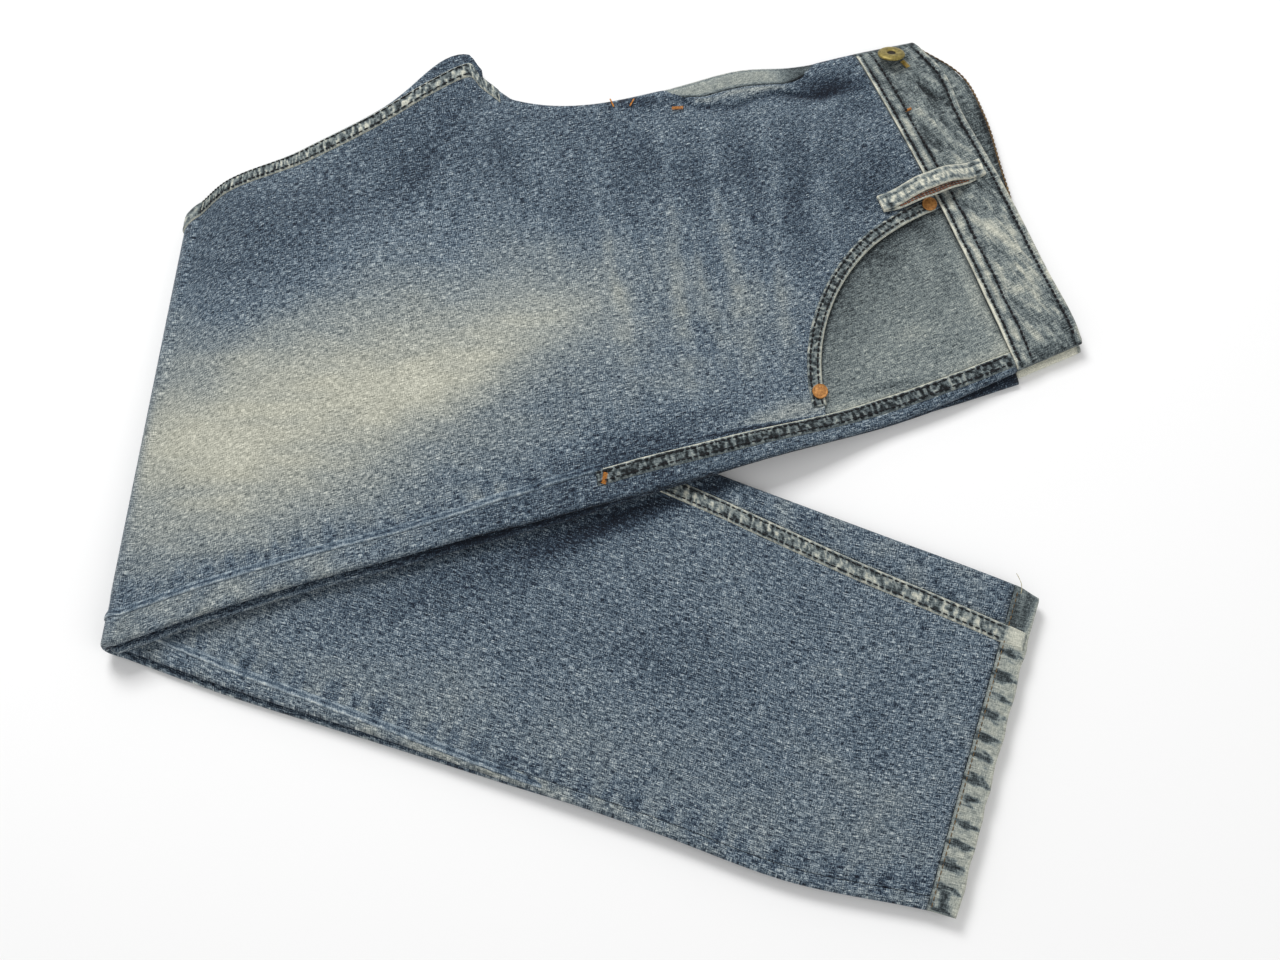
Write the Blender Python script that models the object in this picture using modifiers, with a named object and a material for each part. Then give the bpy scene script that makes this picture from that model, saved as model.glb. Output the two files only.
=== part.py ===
"""Carrot fit jeans, folded in half along the centre front and once more at the knees, lying flat.

The two legs lie on each other: the left leg on top with its front up, the right leg below it.
The lower legs are folded under, so the right shin comes to lie on the left one. Every cloth piece is a
wall swept along the legs: across the waist, down the thighs, round the knee fold and back along the shins.

+X points to the waist end, +Y from the side seams to the centre front, +Z up from the table.
"""

import math
from bisect import bisect_right
from collections import namedtuple

import bmesh
import bpy
from mathutils import Matrix, Vector
from mathutils.bvhtree import BVHTree

# Driving dimensions, in metres.
CLOTH = 0.0012  # one layer of denim
GAP = 0.0003  # between pieces that meet at a seam
INSEAM_GAP = 0.0005  # between front and back below the felled inseam
STACK = 0.0100  # both flattened legs, one on the other
LEG_DEPTH = (STACK - GAP) / 2  # one flattened leg
FOLD_RADIUS = 0.0010  # inside of the knee fold
FOLD_HEIGHT = STACK + FOLD_RADIUS  # of the knee fold's axis above the table
EDGE_ROUND = 0.0030  # how far a leg's rounded edge reaches in
LOWER_FLANGE = 0.0080  # how far a back panel's strip runs in under the front's edge
FRONT_CURL = 0.0070  # how far the centre front's rounded fold reaches in
SEAM_STRIP = 0.0100  # width of a felled seam
SEAM_RISE = 0.0008  # how far a felled seam stands up
OUTSEAM_WIDTH = 0.0091  # the side seam's turned edge
INSEAM_IN, INSEAM_OUT = 0.0065, 0.0030  # how far the left inseam's strip reaches to either side of it
CORE_INSET = 0.0110  # the hidden layers' solid starts this far inside the fronts' seams
CORE_ROUND = 0.0030  # how far its rounded edge reaches in
CORE_ANGLES = (0.25, 0.8, math.pi / 2)  # of that edge's points, from its blunt end in
CORE_CLEAR = 0.0009  # how far it stays from the fronts
POCKET_SUNK = 0.0016  # how much lower the hidden layers lie under the pocket
SETTLE_LENGTH = 0.062  # the thighs come down to the table over this distance beside the shins

BAND_HEIGHT = 0.0390  # waistband
BAND_WALL = 0.0020
BAND_LAYERS = (0.0011, 0.0040, 0.0069, 0.0098)  # mid-depths of its four layers
BACK_RISE = 0.0140  # how far the back of the waistband stands past the front
BACK_RISE_FROM, BACK_RISE_OVER = 0.42, 0.56  # where it does so, as shares of the row's width

POCKET_ACROSS = 0.1010  # pocket mouth, along the waist seam
POCKET_DOWN = 0.1150  # pocket mouth, along the side seam
POCKET_EDGE = 0.0085  # width of the mouth's turned and stitched edge
FACING_UNDER = 0.0120  # how far the facing runs under the front panel
FACING_RISE = 0.0200  # the facing comes up to the side seam over this distance
FACING_RISE_MOUTH = 0.0600  # and by less where the mouth is narrower than this
MOUTH_FROM, MOUTH_TO = math.radians(1.8), math.radians(86.4)  # ends of the mouth's edge on its ellipse
YOKE_DEPTH = 0.0400
HEM_DEPTH = 0.0125
HEM_WALL = 0.0017
HEM_RISE = 0.0005  # how far the upper hem stands above its panels
HEM_DRAWN_IN = 0.0020  # how much shorter the lower hem is

LOOP_WIDTH = 0.0105
LOOP_PLY = 0.0010
LOOP_CLEAR = 0.0068  # highest clear height for a belt
LOOP_PLY_RISE = 0.0010  # how much higher the upper ply arches
LOOP_PLY_SHIFT = 0.0020  # how far the under ply has slid to one side
LOOP_TOP_FOOT = Vector((0.2095, 0.1970))  # on the waistband's top edge
LOOP_LOW_FOOT = Vector((0.1460, 0.1715))  # on the front, below the waistband
BUTTON_RADIUS = 0.0085
BUTTON_INSET = 0.0102  # from the centre front fold
BUTTON_ROW = -0.0190  # the row it sits on
BUTTON_LIFT = Vector((0, 0.0016, 0.0030))  # from its foot to its origin
BUTTON_TILT = math.radians(-30)
RIVET_RADIUS = 0.0045
RIVET_ANGLES = {"rivet_upper": math.radians(3), "rivet_lower": math.radians(80)}  # on the mouth's ellipse

# The knee fold's axis, seen from above, from the side seams to the inseams.
KNEE_SIDE = Vector((-0.2880, -0.1010))
KNEE_INNER = Vector((-0.2620, 0.1700))
FOLD_LINE = (KNEE_INNER - KNEE_SIDE).normalized()
FROM_FOLD = Vector((FOLD_LINE.y, -FOLD_LINE.x))  # from the fold towards waist and hems
# Moves the plan so that its origin is the centre of the base.
ORIGIN = Vector((-0.01945, 0.02109))

# Rows across the thighs, from the waistband's top edge to the knee, each given by its distance down the
# side seam. side_ and inner_ are where the upper leg's edges lie, bow is how far the row bends towards
# the waist, side_seam and inner_seam are how far in from the edges the seams run. under_ says how far
# the lower leg's edges stand out past the upper one's. curl is 1 where the front rolls down over
# the centre front.
Row = namedtuple(
    "Row",
    "along side_x side_y inner_x inner_y bow side_seam inner_seam under_side under_inner curl",
)
THIGH_ROWS = [
    Row(-0.039, 0.2580, 0.0800, 0.1700, 0.2870, 0.0080, 0.0120, 0.000, 0.0070, -0.001, 1),
    Row(0.0000, 0.2220, 0.0640, 0.1340, 0.2790, 0.0040, 0.0120, 0.000, 0.0060, -0.001, 1),
    Row(0.0510, 0.1740, 0.0420, 0.0980, 0.2700, 0.0020, 0.0150, 0.000, 0.0000, -0.001, 1),
    Row(0.1130, 0.1150, 0.0210, 0.0600, 0.2670, 0.0000, 0.0160, 0.000, -0.001, -0.001, 1),
    Row(0.1720, 0.0590, 0.0030, 0.0160, 0.2540, 0.0000, 0.0180, 0.000, -0.001, -0.001, 1),
    Row(0.2310, 0.0020, -0.014, -0.0360, 0.2430, 0.0000, 0.0200, 0.000, 0.0000, -0.001, 1),
    Row(0.2760, -0.042, -0.026, -0.0780, 0.2470, 0.0000, 0.0190, 0.001, 0.0030, -0.001, 1),
    Row(0.2950, -0.060, -0.031, -0.0940, 0.2600, 0.0000, 0.0180, 0.002, 0.0030, -0.001, 1),
    Row(0.3040, -0.068, -0.033, -0.1010, 0.2670, 0.0000, 0.0175, 0.003, 0.0035, -0.001, 1),
    Row(0.3130, -0.077, -0.035, -0.1080, 0.2730, 0.0000, 0.0170, 0.006, 0.0040, -0.001, 0),
    Row(0.3350, -0.099, -0.041, -0.1310, 0.2600, 0.0000, 0.0150, 0.005, 0.0040, -0.001, 0),
    Row(0.3700, -0.133, -0.051, -0.1650, 0.2365, 0.0000, 0.0140, 0.005, 0.0040, -0.001, 0),
    Row(0.4250, -0.186, -0.066, -0.2080, 0.2110, 0.0000, 0.0150, 0.005, 0.0040, -0.001, 0),
    Row(0.4870, -0.245, -0.085, -0.2460, 0.1880, 0.0000, 0.0160, 0.005, 0.0040, -0.001, 0),
    Row(0.5330, -0.288, -0.101, -0.2620, 0.1700, 0.0000, 0.0170, 0.005, 0.0040, -0.001, 0),
]
# Rows across the shins, from the knee to the hems. Here the right leg is the upper one.
SHIN_ROWS = [
    Row(0.0000, -0.288, -0.101, -0.2620, 0.1700, 0.0000, 0.0120, 0.005, 0.0040, -0.001, 0),
    Row(0.0600, -0.229, -0.122, -0.2020, 0.1260, 0.0000, 0.0095, 0.006, 0.0040, -0.001, 0),
    Row(0.1420, -0.151, -0.147, -0.1120, 0.0690, 0.0000, 0.0080, 0.008, 0.0030, -0.002, 0),
    Row(0.2260, -0.071, -0.174, -0.0260, 0.0300, 0.0000, 0.0075, 0.011, 0.0010, -0.002, 0),
    Row(0.3100, 0.009, -0.201, 0.0530, -0.0020, 0.0000, 0.0075, 0.015, -0.002, -0.003, 0),
    Row(0.3820, 0.079, -0.226, 0.1270, -0.0310, 0.0000, 0.0075, 0.021, -0.003, -0.003, 0),
    Row(0.4560, 0.151, -0.2405, 0.2110, -0.064, 0.0000, 0.0075, 0.025, -0.003, -0.003, 0),
    Row(0.4690, 0.167, -0.2450, 0.2240, -0.072, 0.0000, 0.0075, 0.023, -0.003, -0.003, 0),
]
# The fly, as distances down the side seam of the rows that cross it.
FLY_TOP, FLY_END, FLY_TAPER = 0.0400, 0.1800, 0.0180
FLY_LEAST = 0.3  # the placket's piece ends where less than this share of it shows
FLY_CLEAR = 0.0012  # between the placket and the left front's edge
CROTCH = 0.3130  # the row of the crotch
TACK_ROW = 0.2560  # where the side seam's top-stitching ends

# Gentle folds in the upper surface: where a fold's middle lies and its half length and half width, the
# direction it runs in degrees, and its height. A trough has a negative height.
Fold = namedtuple("Fold", "x y half_length half_width heading height")
THIGH_FOLDS = [
    Fold(0.060, 0.236, 0.090, 0.024, 8, -0.0012),  # along the fly
    Fold(-0.085, 0.205, 0.075, 0.026, 78, 0.0014),  # from the crotch
    Fold(-0.060, 0.075, 0.150, 0.060, 20, 0.0016),  # the thigh's own fullness
    Fold(-0.190, 0.060, 0.070, 0.050, 28, 0.0012),
]
SHIN_FOLDS = [Fold(0.060, -0.130, 0.110, 0.055, -22, 0.0012)]


def fold_height(folds, place):
    """The height that a list of folds adds at a place in the plan."""
    height = 0.0
    for fold in folds:
        heading = math.radians(fold.heading)
        offset = place - Vector((fold.x, fold.y))
        along = offset.x * math.cos(heading) + offset.y * math.sin(heading)
        aside = offset.y * math.cos(heading) - offset.x * math.sin(heading)
        reach = (along / fold.half_length) ** 2 + (aside / fold.half_width) ** 2
        height += fold.height * math.exp(-2 * reach)
    return height


def smooth_step(share):
    share = min(1.0, max(0.0, share))
    return share * share * (3 - 2 * share)


def row_at(rows, along):
    """The row at any distance along, on smooth curves through the table's rows."""
    marks = [row.along for row in rows]
    i = min(max(bisect_right(marks, along) - 1, 0), len(rows) - 2)
    before, start, end, after = (
        rows[max(i - 1, 0)],
        rows[i],
        rows[i + 1],
        rows[min(i + 2, len(rows) - 1)],
    )
    span = end.along - start.along
    t = (along - start.along) / span
    values = []
    for field in range(1, len(start)):
        rise_in = (end[field] - before[field]) / (end.along - before.along)
        rise_out = (after[field] - start[field]) / (after.along - start.along)
        if field >= Row._fields.index("bow"):  # plain slopes keep the small offsets in range
            values.append(start[field] + (end[field] - start[field]) * t)
            continue
        values.append(
            (2 * t**3 - 3 * t**2 + 1) * start[field]
            + (t**3 - 2 * t**2 + t) * span * rise_in
            + (3 * t**2 - 2 * t**3) * end[field]
            + (t**3 - t**2) * span * rise_out
        )
    return Row(along, *values)


# A station is a row laid in the plan: its two ends, its bend, its turn round the knee fold in radians
# (0 on the thighs, pi on the shins), its columns and how far the cloth lies below or above the plain
# stack at each. lift moves all layers, swell only the outermost and in proportion those under it.
Station = namedtuple("Station", "side inner bow turn row columns lift swell")
INSIDE_COLUMNS = 7
SHIN_EDGE_FROM = KNEE_INNER
SHIN_EDGE_TO = Vector((SHIN_ROWS[-1].inner_x, SHIN_ROWS[-1].inner_y))


def settle(place):
    """How far the thighs have come down from on top of the shins at a place in the plan."""
    edge = (SHIN_EDGE_TO - SHIN_EDGE_FROM).normalized()
    beside = edge.cross(place - SHIN_EDGE_FROM)
    return -(STACK + 2 * FOLD_RADIUS) * smooth_step(beside / SETTLE_LENGTH)


def row_place(side, inner, bow, across):
    """The plan position at a distance in from the side edge, on a row that bends by bow."""
    line = inner - side
    share = across / line.length
    towards_waist = Vector((line.y, -line.x)).normalized()
    return side + line * share + towards_waist * bow * 4 * share * (1 - share)


def seam_columns(width, row):
    """Distances in from the side edge: the two seams, the felled strips beside them and points between."""
    low, high = row.side_seam, width - row.inner_seam - FRONT_CURL * row.curl
    steps = INSIDE_COLUMNS + 1
    first, last = low + SEAM_STRIP, high - SEAM_STRIP
    between = [first + (last - first) * k / steps for k in range(1, steps)]
    return [low, first, *between, last, high]


def station(row, turn):
    side, inner = Vector((row.side_x, row.side_y)), Vector((row.inner_x, row.inner_y))
    columns = seam_columns((inner - side).length, row)
    places = [row_place(side, inner, row.bow, across) for across in columns]
    lift = [settle(place) if turn == 0 else 0.0 for place in places]
    swell = [0.0 for _ in places]
    if turn == 0 and row.along > 0:
        swell = [fold_height(THIGH_FOLDS, place) for place in places]
    if turn == math.pi:
        swell = [fold_height(SHIN_FOLDS, place) for place in places]
    return Station(side, inner, row.bow, turn, row, columns, lift, swell)


def thigh_station(along):
    return station(row_at(THIGH_ROWS, along), 0)


def shin_station(along):
    return station(row_at(SHIN_ROWS, along), math.pi)


def fold_station(share):
    """A station round the knee fold, from the thighs (0) to the shins (1)."""
    start, end = THIGH_ROWS[-1], SHIN_ROWS[0]
    return station(Row(*(a + (b - a) * share for a, b in zip(start, end))), math.pi * share)


def between_columns(values, columns, across):
    """A value at a distance across, on straight lines between the columns and level beyond them."""
    across = min(max(across, columns[0]), columns[-1])
    i = min(max(bisect_right(columns, across) - 1, 0), len(columns) - 2)
    t = (across - columns[i]) / (columns[i + 1] - columns[i])
    return values[i] + (values[i + 1] - values[i]) * t


def leg_point(at, across, depth):
    """The point at a station, a distance in from the side edge and a depth out from the fold's inside."""
    lift = between_columns(at.lift, at.columns, across)
    swell = between_columns(at.swell, at.columns, across)
    if at.turn == math.pi:
        swell *= (STACK - depth) / STACK
    else:
        swell *= depth / STACK
    radius = FOLD_RADIUS + depth
    place = row_place(at.side, at.inner, at.bow, across)
    place -= FROM_FOLD * radius * math.sin(at.turn) + ORIGIN
    height = FOLD_HEIGHT + radius * math.cos(at.turn)
    return Vector((place.x, place.y, height + lift + swell))


# Modelling

ON, UNDER, CENTRED = 1.0, -1.0, 0.0  # where the cloth lies from its drawn face


def new_object(name, mesh, colour, roughness=0.9, metallic=0.0):
    """One named piece with its own Principled BSDF material."""
    material = bpy.data.materials.new(name)
    material.use_nodes = True
    shader = material.node_tree.nodes["Principled BSDF"]
    shader.inputs["Base Color"].default_value = (*colour, 1)
    shader.inputs["Roughness"].default_value = roughness
    shader.inputs["Metallic"].default_value = metallic
    mesh.materials.append(material)
    piece = bpy.data.objects.new(name, mesh)
    PARTS.objects.link(piece)
    return piece


def cloth(name, rings, colour, thickness=CLOTH, lies=UNDER, mirrored=False, closed=False, has_cell=None):
    """A cloth wall: a face lofted through rings of points, all of one length, and thickened.

    mirrored turns the face over. closed joins each ring's ends, as round a tube. has_cell(ring, step)
    says where there is cloth, and None means everywhere."""
    shape = bmesh.new()
    grid = [[shape.verts.new(point) for point in ring] for ring in rings]
    count = len(rings[0])
    for i in range(len(rings) - 1):
        for k in range(count if closed else count - 1):
            if has_cell and not has_cell(i, k):
                continue
            after = (k + 1) % count
            corners = [grid[i][k], grid[i][after], grid[i + 1][after], grid[i + 1][k]]
            for triangle in ((0, 1, 2), (0, 2, 3)):
                face = [corners[c] for c in triangle]
                shape.faces.new(reversed(face) if mirrored else face)
    unused = [vertex for vertex in shape.verts if not vertex.link_faces]
    bmesh.ops.delete(shape, geom=unused, context="VERTS")
    mesh = bpy.data.meshes.new(name)
    shape.to_mesh(mesh)
    shape.free()
    mesh.shade_smooth()
    piece = new_object(name, mesh, colour)
    solidify = piece.modifiers.new("Cloth", "SOLIDIFY")
    solidify.thickness = thickness
    solidify.offset = lies
    solidify.use_even_offset = True
    return piece


def filled(name, rings, colour):
    """A closed solid lofted through rings of (upper, lower) pairs of points."""
    shape = bmesh.new()
    upper = [[shape.verts.new(pair[0]) for pair in ring] for ring in rings]
    lower = [[shape.verts.new(pair[1]) for pair in ring] for ring in rings]
    below = {top: bottom for tops, bottoms in zip(upper, lower) for top, bottom in zip(tops, bottoms)}
    for i in range(len(rings) - 1):
        for k in range(len(rings[0]) - 1):
            corners = [upper[i][k], upper[i][k + 1], upper[i + 1][k + 1], upper[i + 1][k]]
            for triangle in ((0, 1, 2), (0, 2, 3)):
                face = [corners[c] for c in triangle]
                shape.faces.new(face)
                shape.faces.new([below[vertex] for vertex in reversed(face)])
    rim = [edge.link_loops[0] for edge in shape.edges if edge.is_boundary and edge.verts[0] in below]
    for loop in rim:
        a, b = loop.vert, loop.link_loop_next.vert
        shape.faces.new((b, a, below[a], below[b]))
    mesh = bpy.data.meshes.new(name)
    shape.to_mesh(mesh)
    shape.free()
    mesh.shade_smooth()
    mesh.set_sharp_from_angle(angle=math.radians(40))
    return new_object(name, mesh, colour)


def turned(name, profile, colour, place, tilt, roughness, steps):
    """A metal piece turned round its own +Z, from a profile of (radius, height) run from top to bottom."""
    mesh = bpy.data.meshes.new(name)
    points = [(radius, 0, height) for radius, height in profile]
    mesh.from_pydata(points, [(i, i + 1) for i in range(len(points) - 1)], [])
    piece = new_object(name, mesh, colour, roughness, 1.0)
    screw = piece.modifiers.new("Turn", "SCREW")
    screw.steps = screw.render_steps = steps
    screw.use_merge_vertices = True
    screw.merge_threshold = 0.00001
    screw.use_smooth_shade = True
    piece.matrix_world = Matrix.Translation(place) @ Matrix.Rotation(tilt, 4, "X")
    return piece


def height_on(pieces):
    """A function that gives the height of these pieces' upper side at a place."""
    bpy.context.view_layer.update()
    graph = bpy.context.evaluated_depsgraph_get()
    trees = [BVHTree.FromObject(piece, graph) for piece in pieces]

    def height(place):
        above = Vector((place.x, place.y, 1.0))
        hits = [tree.ray_cast(above, Vector((0, 0, -1)))[0] for tree in trees]
        return max(hit.z for hit in hits if hit)

    return height


# The rows of the whole legs, shared by all panels so that their layers stay parallel.
POCKET_STEPS = 7
POCKET_ROWS = [POCKET_DOWN * math.sin(math.pi / 2 * k / POCKET_STEPS) for k in range(POCKET_STEPS + 1)]
THIGH_ALONG = [
    *(YOKE_DEPTH, 0.138, 0.162, 0.172, FLY_END, 0.203, 0.228, TACK_ROW, 0.276, 0.295, 0.304),
    *(CROTCH, 0.335, 0.370, 0.410, 0.450, 0.487, 0.512),
]
THIGH_ALONG = sorted(THIGH_ALONG + POCKET_ROWS)
FOLD_STEPS = 6
SHIN_ALONG = [0.026, 0.070, 0.120, 0.175, 0.230, 0.285, 0.335, 0.382, 0.425]
HEM_SEAM = SHIN_ROWS[-1].along - HEM_DEPTH
SHORTEST_STEP = 0.002


def leg_stations(first=0.0, last=HEM_SEAM - GAP):
    """All stations from a row of the thighs to a row of the shins."""
    thigh = [first] + [along for along in THIGH_ALONG if along > first + SHORTEST_STEP]
    shin = [along for along in SHIN_ALONG if along < last - SHORTEST_STEP] + [last]
    return [
        *map(thigh_station, thigh),
        *(fold_station(k / FOLD_STEPS) for k in range(FOLD_STEPS + 1)),
        *map(shin_station, shin),
    ]


def rings_of(stations, section):
    """Each station's section as points. section gives a station's list of (across, depth)."""
    return [[leg_point(at, across, depth) for across, depth in section(at)] for at in stations]


def width_of(at):
    return (at.inner - at.side).length


def flipped(section):
    """The same section for the other leg: the stack of layers is the same seen from its other face."""
    return lambda at: [(across, STACK - depth) for across, depth in section(at)]


def pocket_mouth(along):
    """How far in from the side seam the pocket mouth runs, a quarter of an ellipse."""
    return POCKET_ACROSS * math.sqrt(max(0.0, 1 - (along / POCKET_DOWN) ** 2))


def in_pocket(at):
    return at.turn == 0 and at.row.along < POCKET_DOWN


def placket_share(at):
    """How much of the placket shows at a station, from 0 to 1."""
    if at.turn:
        return 0.0
    from_ends = min(at.row.along - FLY_TOP, FLY_END - at.row.along)
    return smooth_step(from_ends / FLY_TAPER)


CURL_STEPS = 4
CURL_FALL = STACK / 2 - 0.0004  # how far a front rolls down towards the other one
FLAT_STEP = 0.0008  # between the curl's points where the cloth lies flat


def curl_point(start, angle):
    """A point of the rolled centre front, at an angle from its top round to its middle."""
    return (start + FRONT_CURL * math.sin(angle), STACK - CURL_FALL * (1 - math.cos(angle)))


def plain_front_section(at, start=None, placket=0.0):
    """A front panel's face, from the side seam or the pocket mouth to the inseam or the centre front,
    where it rolls down until it meets the other front or shows the placket."""
    columns = list(at.columns)
    if start is not None:
        steps = len(columns) - 1
        columns = [start + (columns[-1] - start) * k / steps for k in range(steps + 1)]
    rolled = at.row.curl * (1 - placket)
    columns[-1] -= FLAT_STEP * CURL_STEPS * (1 - rolled)
    points = [(across, STACK) for across in columns]
    for k in range(1, CURL_STEPS + 1):
        across, depth = curl_point(at.columns[-1], math.pi / 2 * k / CURL_STEPS * rolled)
        points.append((across + FLAT_STEP * (k - CURL_STEPS) * (1 - rolled), depth))
    return points


def pocketed_front_section(at):
    start = at.columns[0] + pocket_mouth(at.row.along) if in_pocket(at) else None
    return plain_front_section(at, start, placket_share(at))


EDGE_STEPS = 4
STRIP_STEPS = EDGE_STEPS + 2  # a strip's own steps: the part that shows, the edge and the flange below


def leg_edges(at, is_upper):
    """Where a leg's two edges lie at a station. The lower leg's stand out past the upper one's."""
    share = at.turn / math.pi if is_upper else 1 - at.turn / math.pi
    return -at.row.under_side * share, width_of(at) + at.row.under_inner * share


def round_edge(edge, reach, middle, half):
    """Points from the top of a leg's rounded edge to its bottom."""
    angles = [math.pi * k / EDGE_STEPS for k in range(EDGE_STEPS + 1)]
    return [(edge + reach * (1 - math.sin(a)), middle + half * math.cos(a)) for a in angles]


def back_section(at, is_upper):
    """A back panel's face: from the side seam round the leg's edge, in below the hidden layers, and
    round the other edge to the inseam."""
    low, high = leg_edges(at, is_upper)
    first, last = at.columns[0] - GAP, at.columns[-1] + INSEAM_GAP
    bottom, middle, half = STACK - LEG_DEPTH, STACK - LEG_DEPTH / 2, LEG_DEPTH / 2
    side = round_edge(low, EDGE_ROUND, middle, half)
    inner = round_edge(high, -min(EDGE_ROUND, high - last - GAP), middle, half)
    run = [first + LOWER_FLANGE, *at.columns[2:-2], last - LOWER_FLANGE]
    return [(first, STACK), *side, *((across, bottom) for across in run), *reversed(inner), (last, STACK)]


def leg_section(section, is_upper):
    """The section of one leg's piece, as it lies in the stack."""
    own = lambda at: section(at, is_upper)
    return own if is_upper else flipped(own)


LEGS = (("left", True), ("right", False))


def make_panels(colour):
    stations = leg_stations()
    front = cloth("left_front", rings_of(stations, pocketed_front_section), colour)
    cloth("right_front", rings_of(stations, flipped(plain_front_section)), colour, mirrored=True)
    backs = leg_stations(first=YOKE_DEPTH + GAP)
    yokes = [thigh_station(along) for along in (0.0, POCKET_ROWS[1], YOKE_DEPTH)]
    steps = len(back_section(stations[0], True)) - 1

    def has_cell(i, k):
        """A back shows as a strip at each edge: at the side all along, at the inseam from the crotch
        on. The strips join at the hem."""
        past_crotch = backs[i].turn or backs[i].row.along >= CROTCH
        return k < STRIP_STEPS or i == len(backs) - 2 or k >= steps - STRIP_STEPS and past_crotch

    for side, is_upper in LEGS:
        section = leg_section(back_section, is_upper)
        cloth(f"{side}_back", rings_of(backs, section), colour, mirrored=is_upper, has_cell=has_cell)
        strips = [ring[: STRIP_STEPS + 1] for ring in rings_of(yokes, section)]
        cloth(f"{side}_yoke", strips, colour, mirrored=is_upper)
    return front


def core_section(at):
    """(across, upper depth, lower depth) of the solid that stands for the layers between the fronts."""
    in_front_fold = at.turn == 0 and at.row.along < CROTCH
    start = at.columns[0] + CORE_INSET
    end = at.columns[-1] + (CLOTH + GAP if in_front_fold else -CORE_INSET)
    by_pocket = at.turn == 0 and at.row.along < POCKET_DOWN + 2 * FACING_UNDER
    bottom = CLOTH + CORE_CLEAR
    top = STACK - bottom - (POCKET_SUNK if by_pocket else 0.0)
    middle, half = (top + bottom) / 2, (top - bottom) / 2
    rounds = [(CORE_ROUND * (1 - math.sin(a)), half * math.sin(a)) for a in CORE_ANGLES]
    near = [(start + inset, middle + rise, middle - rise) for inset, rise in rounds]
    far = [(end - inset, middle + rise, middle - rise) for inset, rise in reversed(rounds)]
    return near + [(across, top, bottom) for across in at.columns[2:-2]] + far


def make_hidden_layers(colour):
    rings = []
    for at in leg_stations(last=SHIN_ALONG[-1] - GAP):
        rings.append([(leg_point(at, a, top), leg_point(at, a, low)) for a, top, low in core_section(at)])
    filled("hidden_layers", rings, colour)


BAND_STEPS = 6
BAND_RINGS = 3


def band_section(at):
    """The middle of the waistband's wall: a closed band, buttoned at the centre front, flattened and
    folded with the legs into four layers."""
    lowest, low, high, highest = BAND_LAYERS
    small = (high - low) / 2  # radius of the three tight folds
    front, back = width_of(at) - FRONT_CURL, width_of(at) - 2 * FRONT_CURL
    side = small + BAND_WALL / 2
    under = side - at.row.under_side

    def run(start, end, depth):
        return [(start + (end - start) * k / BAND_STEPS, depth) for k in range(BAND_STEPS + 1)]

    def half_turn(centre, start, end, reach, steps):
        """Points between two layers, round a fold that bulges along the row by reach."""
        angles = [math.pi * k / steps for k in range(1, steps)]
        middle, radius = (start + end) / 2, (start - end) / 2
        return [(centre + reach * math.sin(a), middle + radius * math.cos(a)) for a in angles]

    return [
        *run(front, side, highest),
        *half_turn(side, highest, high, -small, 4),
        *run(side, back, high),
        *half_turn(back, high, low, small, 4),
        *run(back, under, low),
        *half_turn(under, low, lowest, -small, 4),
        *run(under, front, lowest),
        *half_turn(front, lowest, highest, FRONT_CURL - BAND_WALL / 2, 6),
    ]


def band_point(along, across, depth):
    """A point of the waistband. Its inner layers, the back, stand up past the front near its centre."""
    share = (across / width_of(thigh_station(along)) - BACK_RISE_FROM) / BACK_RISE_OVER
    if BAND_LAYERS[0] + BAND_WALL < depth < BAND_LAYERS[3] - BAND_WALL and 0 < share < 1:
        along *= 1 + BACK_RISE / BAND_HEIGHT * math.sin(math.pi * share)
    return leg_point(thigh_station(along), across, depth)


def make_waistband(colour):
    rings = []
    for k in range(BAND_RINGS + 1):
        along = -GAP - (BAND_HEIGHT - GAP) * k / BAND_RINGS
        rings.append([band_point(along, *point) for point in band_section(thigh_station(along))])
    return cloth("waistband", rings, colour, BAND_WALL, CENTRED, closed=True)


def hem_section(at, is_upper):
    """A hem's outer face, once round. The right one shows, and stands a little above its panels."""
    low, high = leg_edges(at, is_upper)
    rise = 0.0 if is_upper else HEM_RISE
    middle, half = STACK - LEG_DEPTH / 2 + rise / 2, LEG_DEPTH / 2 + rise / 2
    side = round_edge(low, EDGE_ROUND, middle, half)
    inner = round_edge(high, -EDGE_ROUND, middle, half)
    run = at.columns[2:-2]
    below = [(across, middle - half) for across in run]
    above = [(across, middle + half) for across in reversed(run)]
    return side + below + inner[::-1] + above


def make_hems(colour):
    for side, is_upper in LEGS:
        drawn_in = HEM_DRAWN_IN if is_upper else 0.0
        hem = [shin_station(HEM_SEAM + (HEM_DEPTH - drawn_in) * k / 2) for k in range(3)]
        rings = rings_of(hem, leg_section(hem_section, is_upper))
        cloth(f"{side}_hem", rings, colour, HEM_WALL, mirrored=is_upper, closed=True)


def felled_seam(name, stations, edges, colour, is_upper=True):
    """A felled seam: a narrow strip on the panels, a gap above them. edges gives its two sides."""

    def section(at, is_upper):
        start, end = edges(at)
        return [(start + (end - start) * k / 2, STACK + GAP) for k in range(3)]

    rings = rings_of(stations, leg_section(section, is_upper))
    cloth(name, rings, colour, SEAM_RISE, ON, mirrored=not is_upper)


def make_seams(colour):
    outseam = lambda at: (at.columns[0] - OUTSEAM_WIDTH, at.columns[0] - GAP)
    tacked = [thigh_station(along) for along in THIGH_ALONG if along <= TACK_ROW]
    felled_seam("left_outseam", tacked, outseam, colour)
    thigh = [thigh_station(along) for along in THIGH_ALONG if along >= CROTCH]
    fold = [fold_station(k / FOLD_STEPS) for k in range(FOLD_STEPS)]  # it ends before it meets the table
    inseam = lambda at: (at.columns[-1] - INSEAM_IN, at.columns[-1] + INSEAM_OUT)
    felled_seam("left_inseam", thigh + fold, inseam, colour)
    shin = [shin_station(along) for along in [*SHIN_ALONG[4:], HEM_SEAM - GAP]]
    felled_seam("right_inseam", shin, lambda at: (at.columns[-2], at.columns[-1]), colour, False)


FACING_STEPS = 6
MOUTH_STEPS = 16


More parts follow.
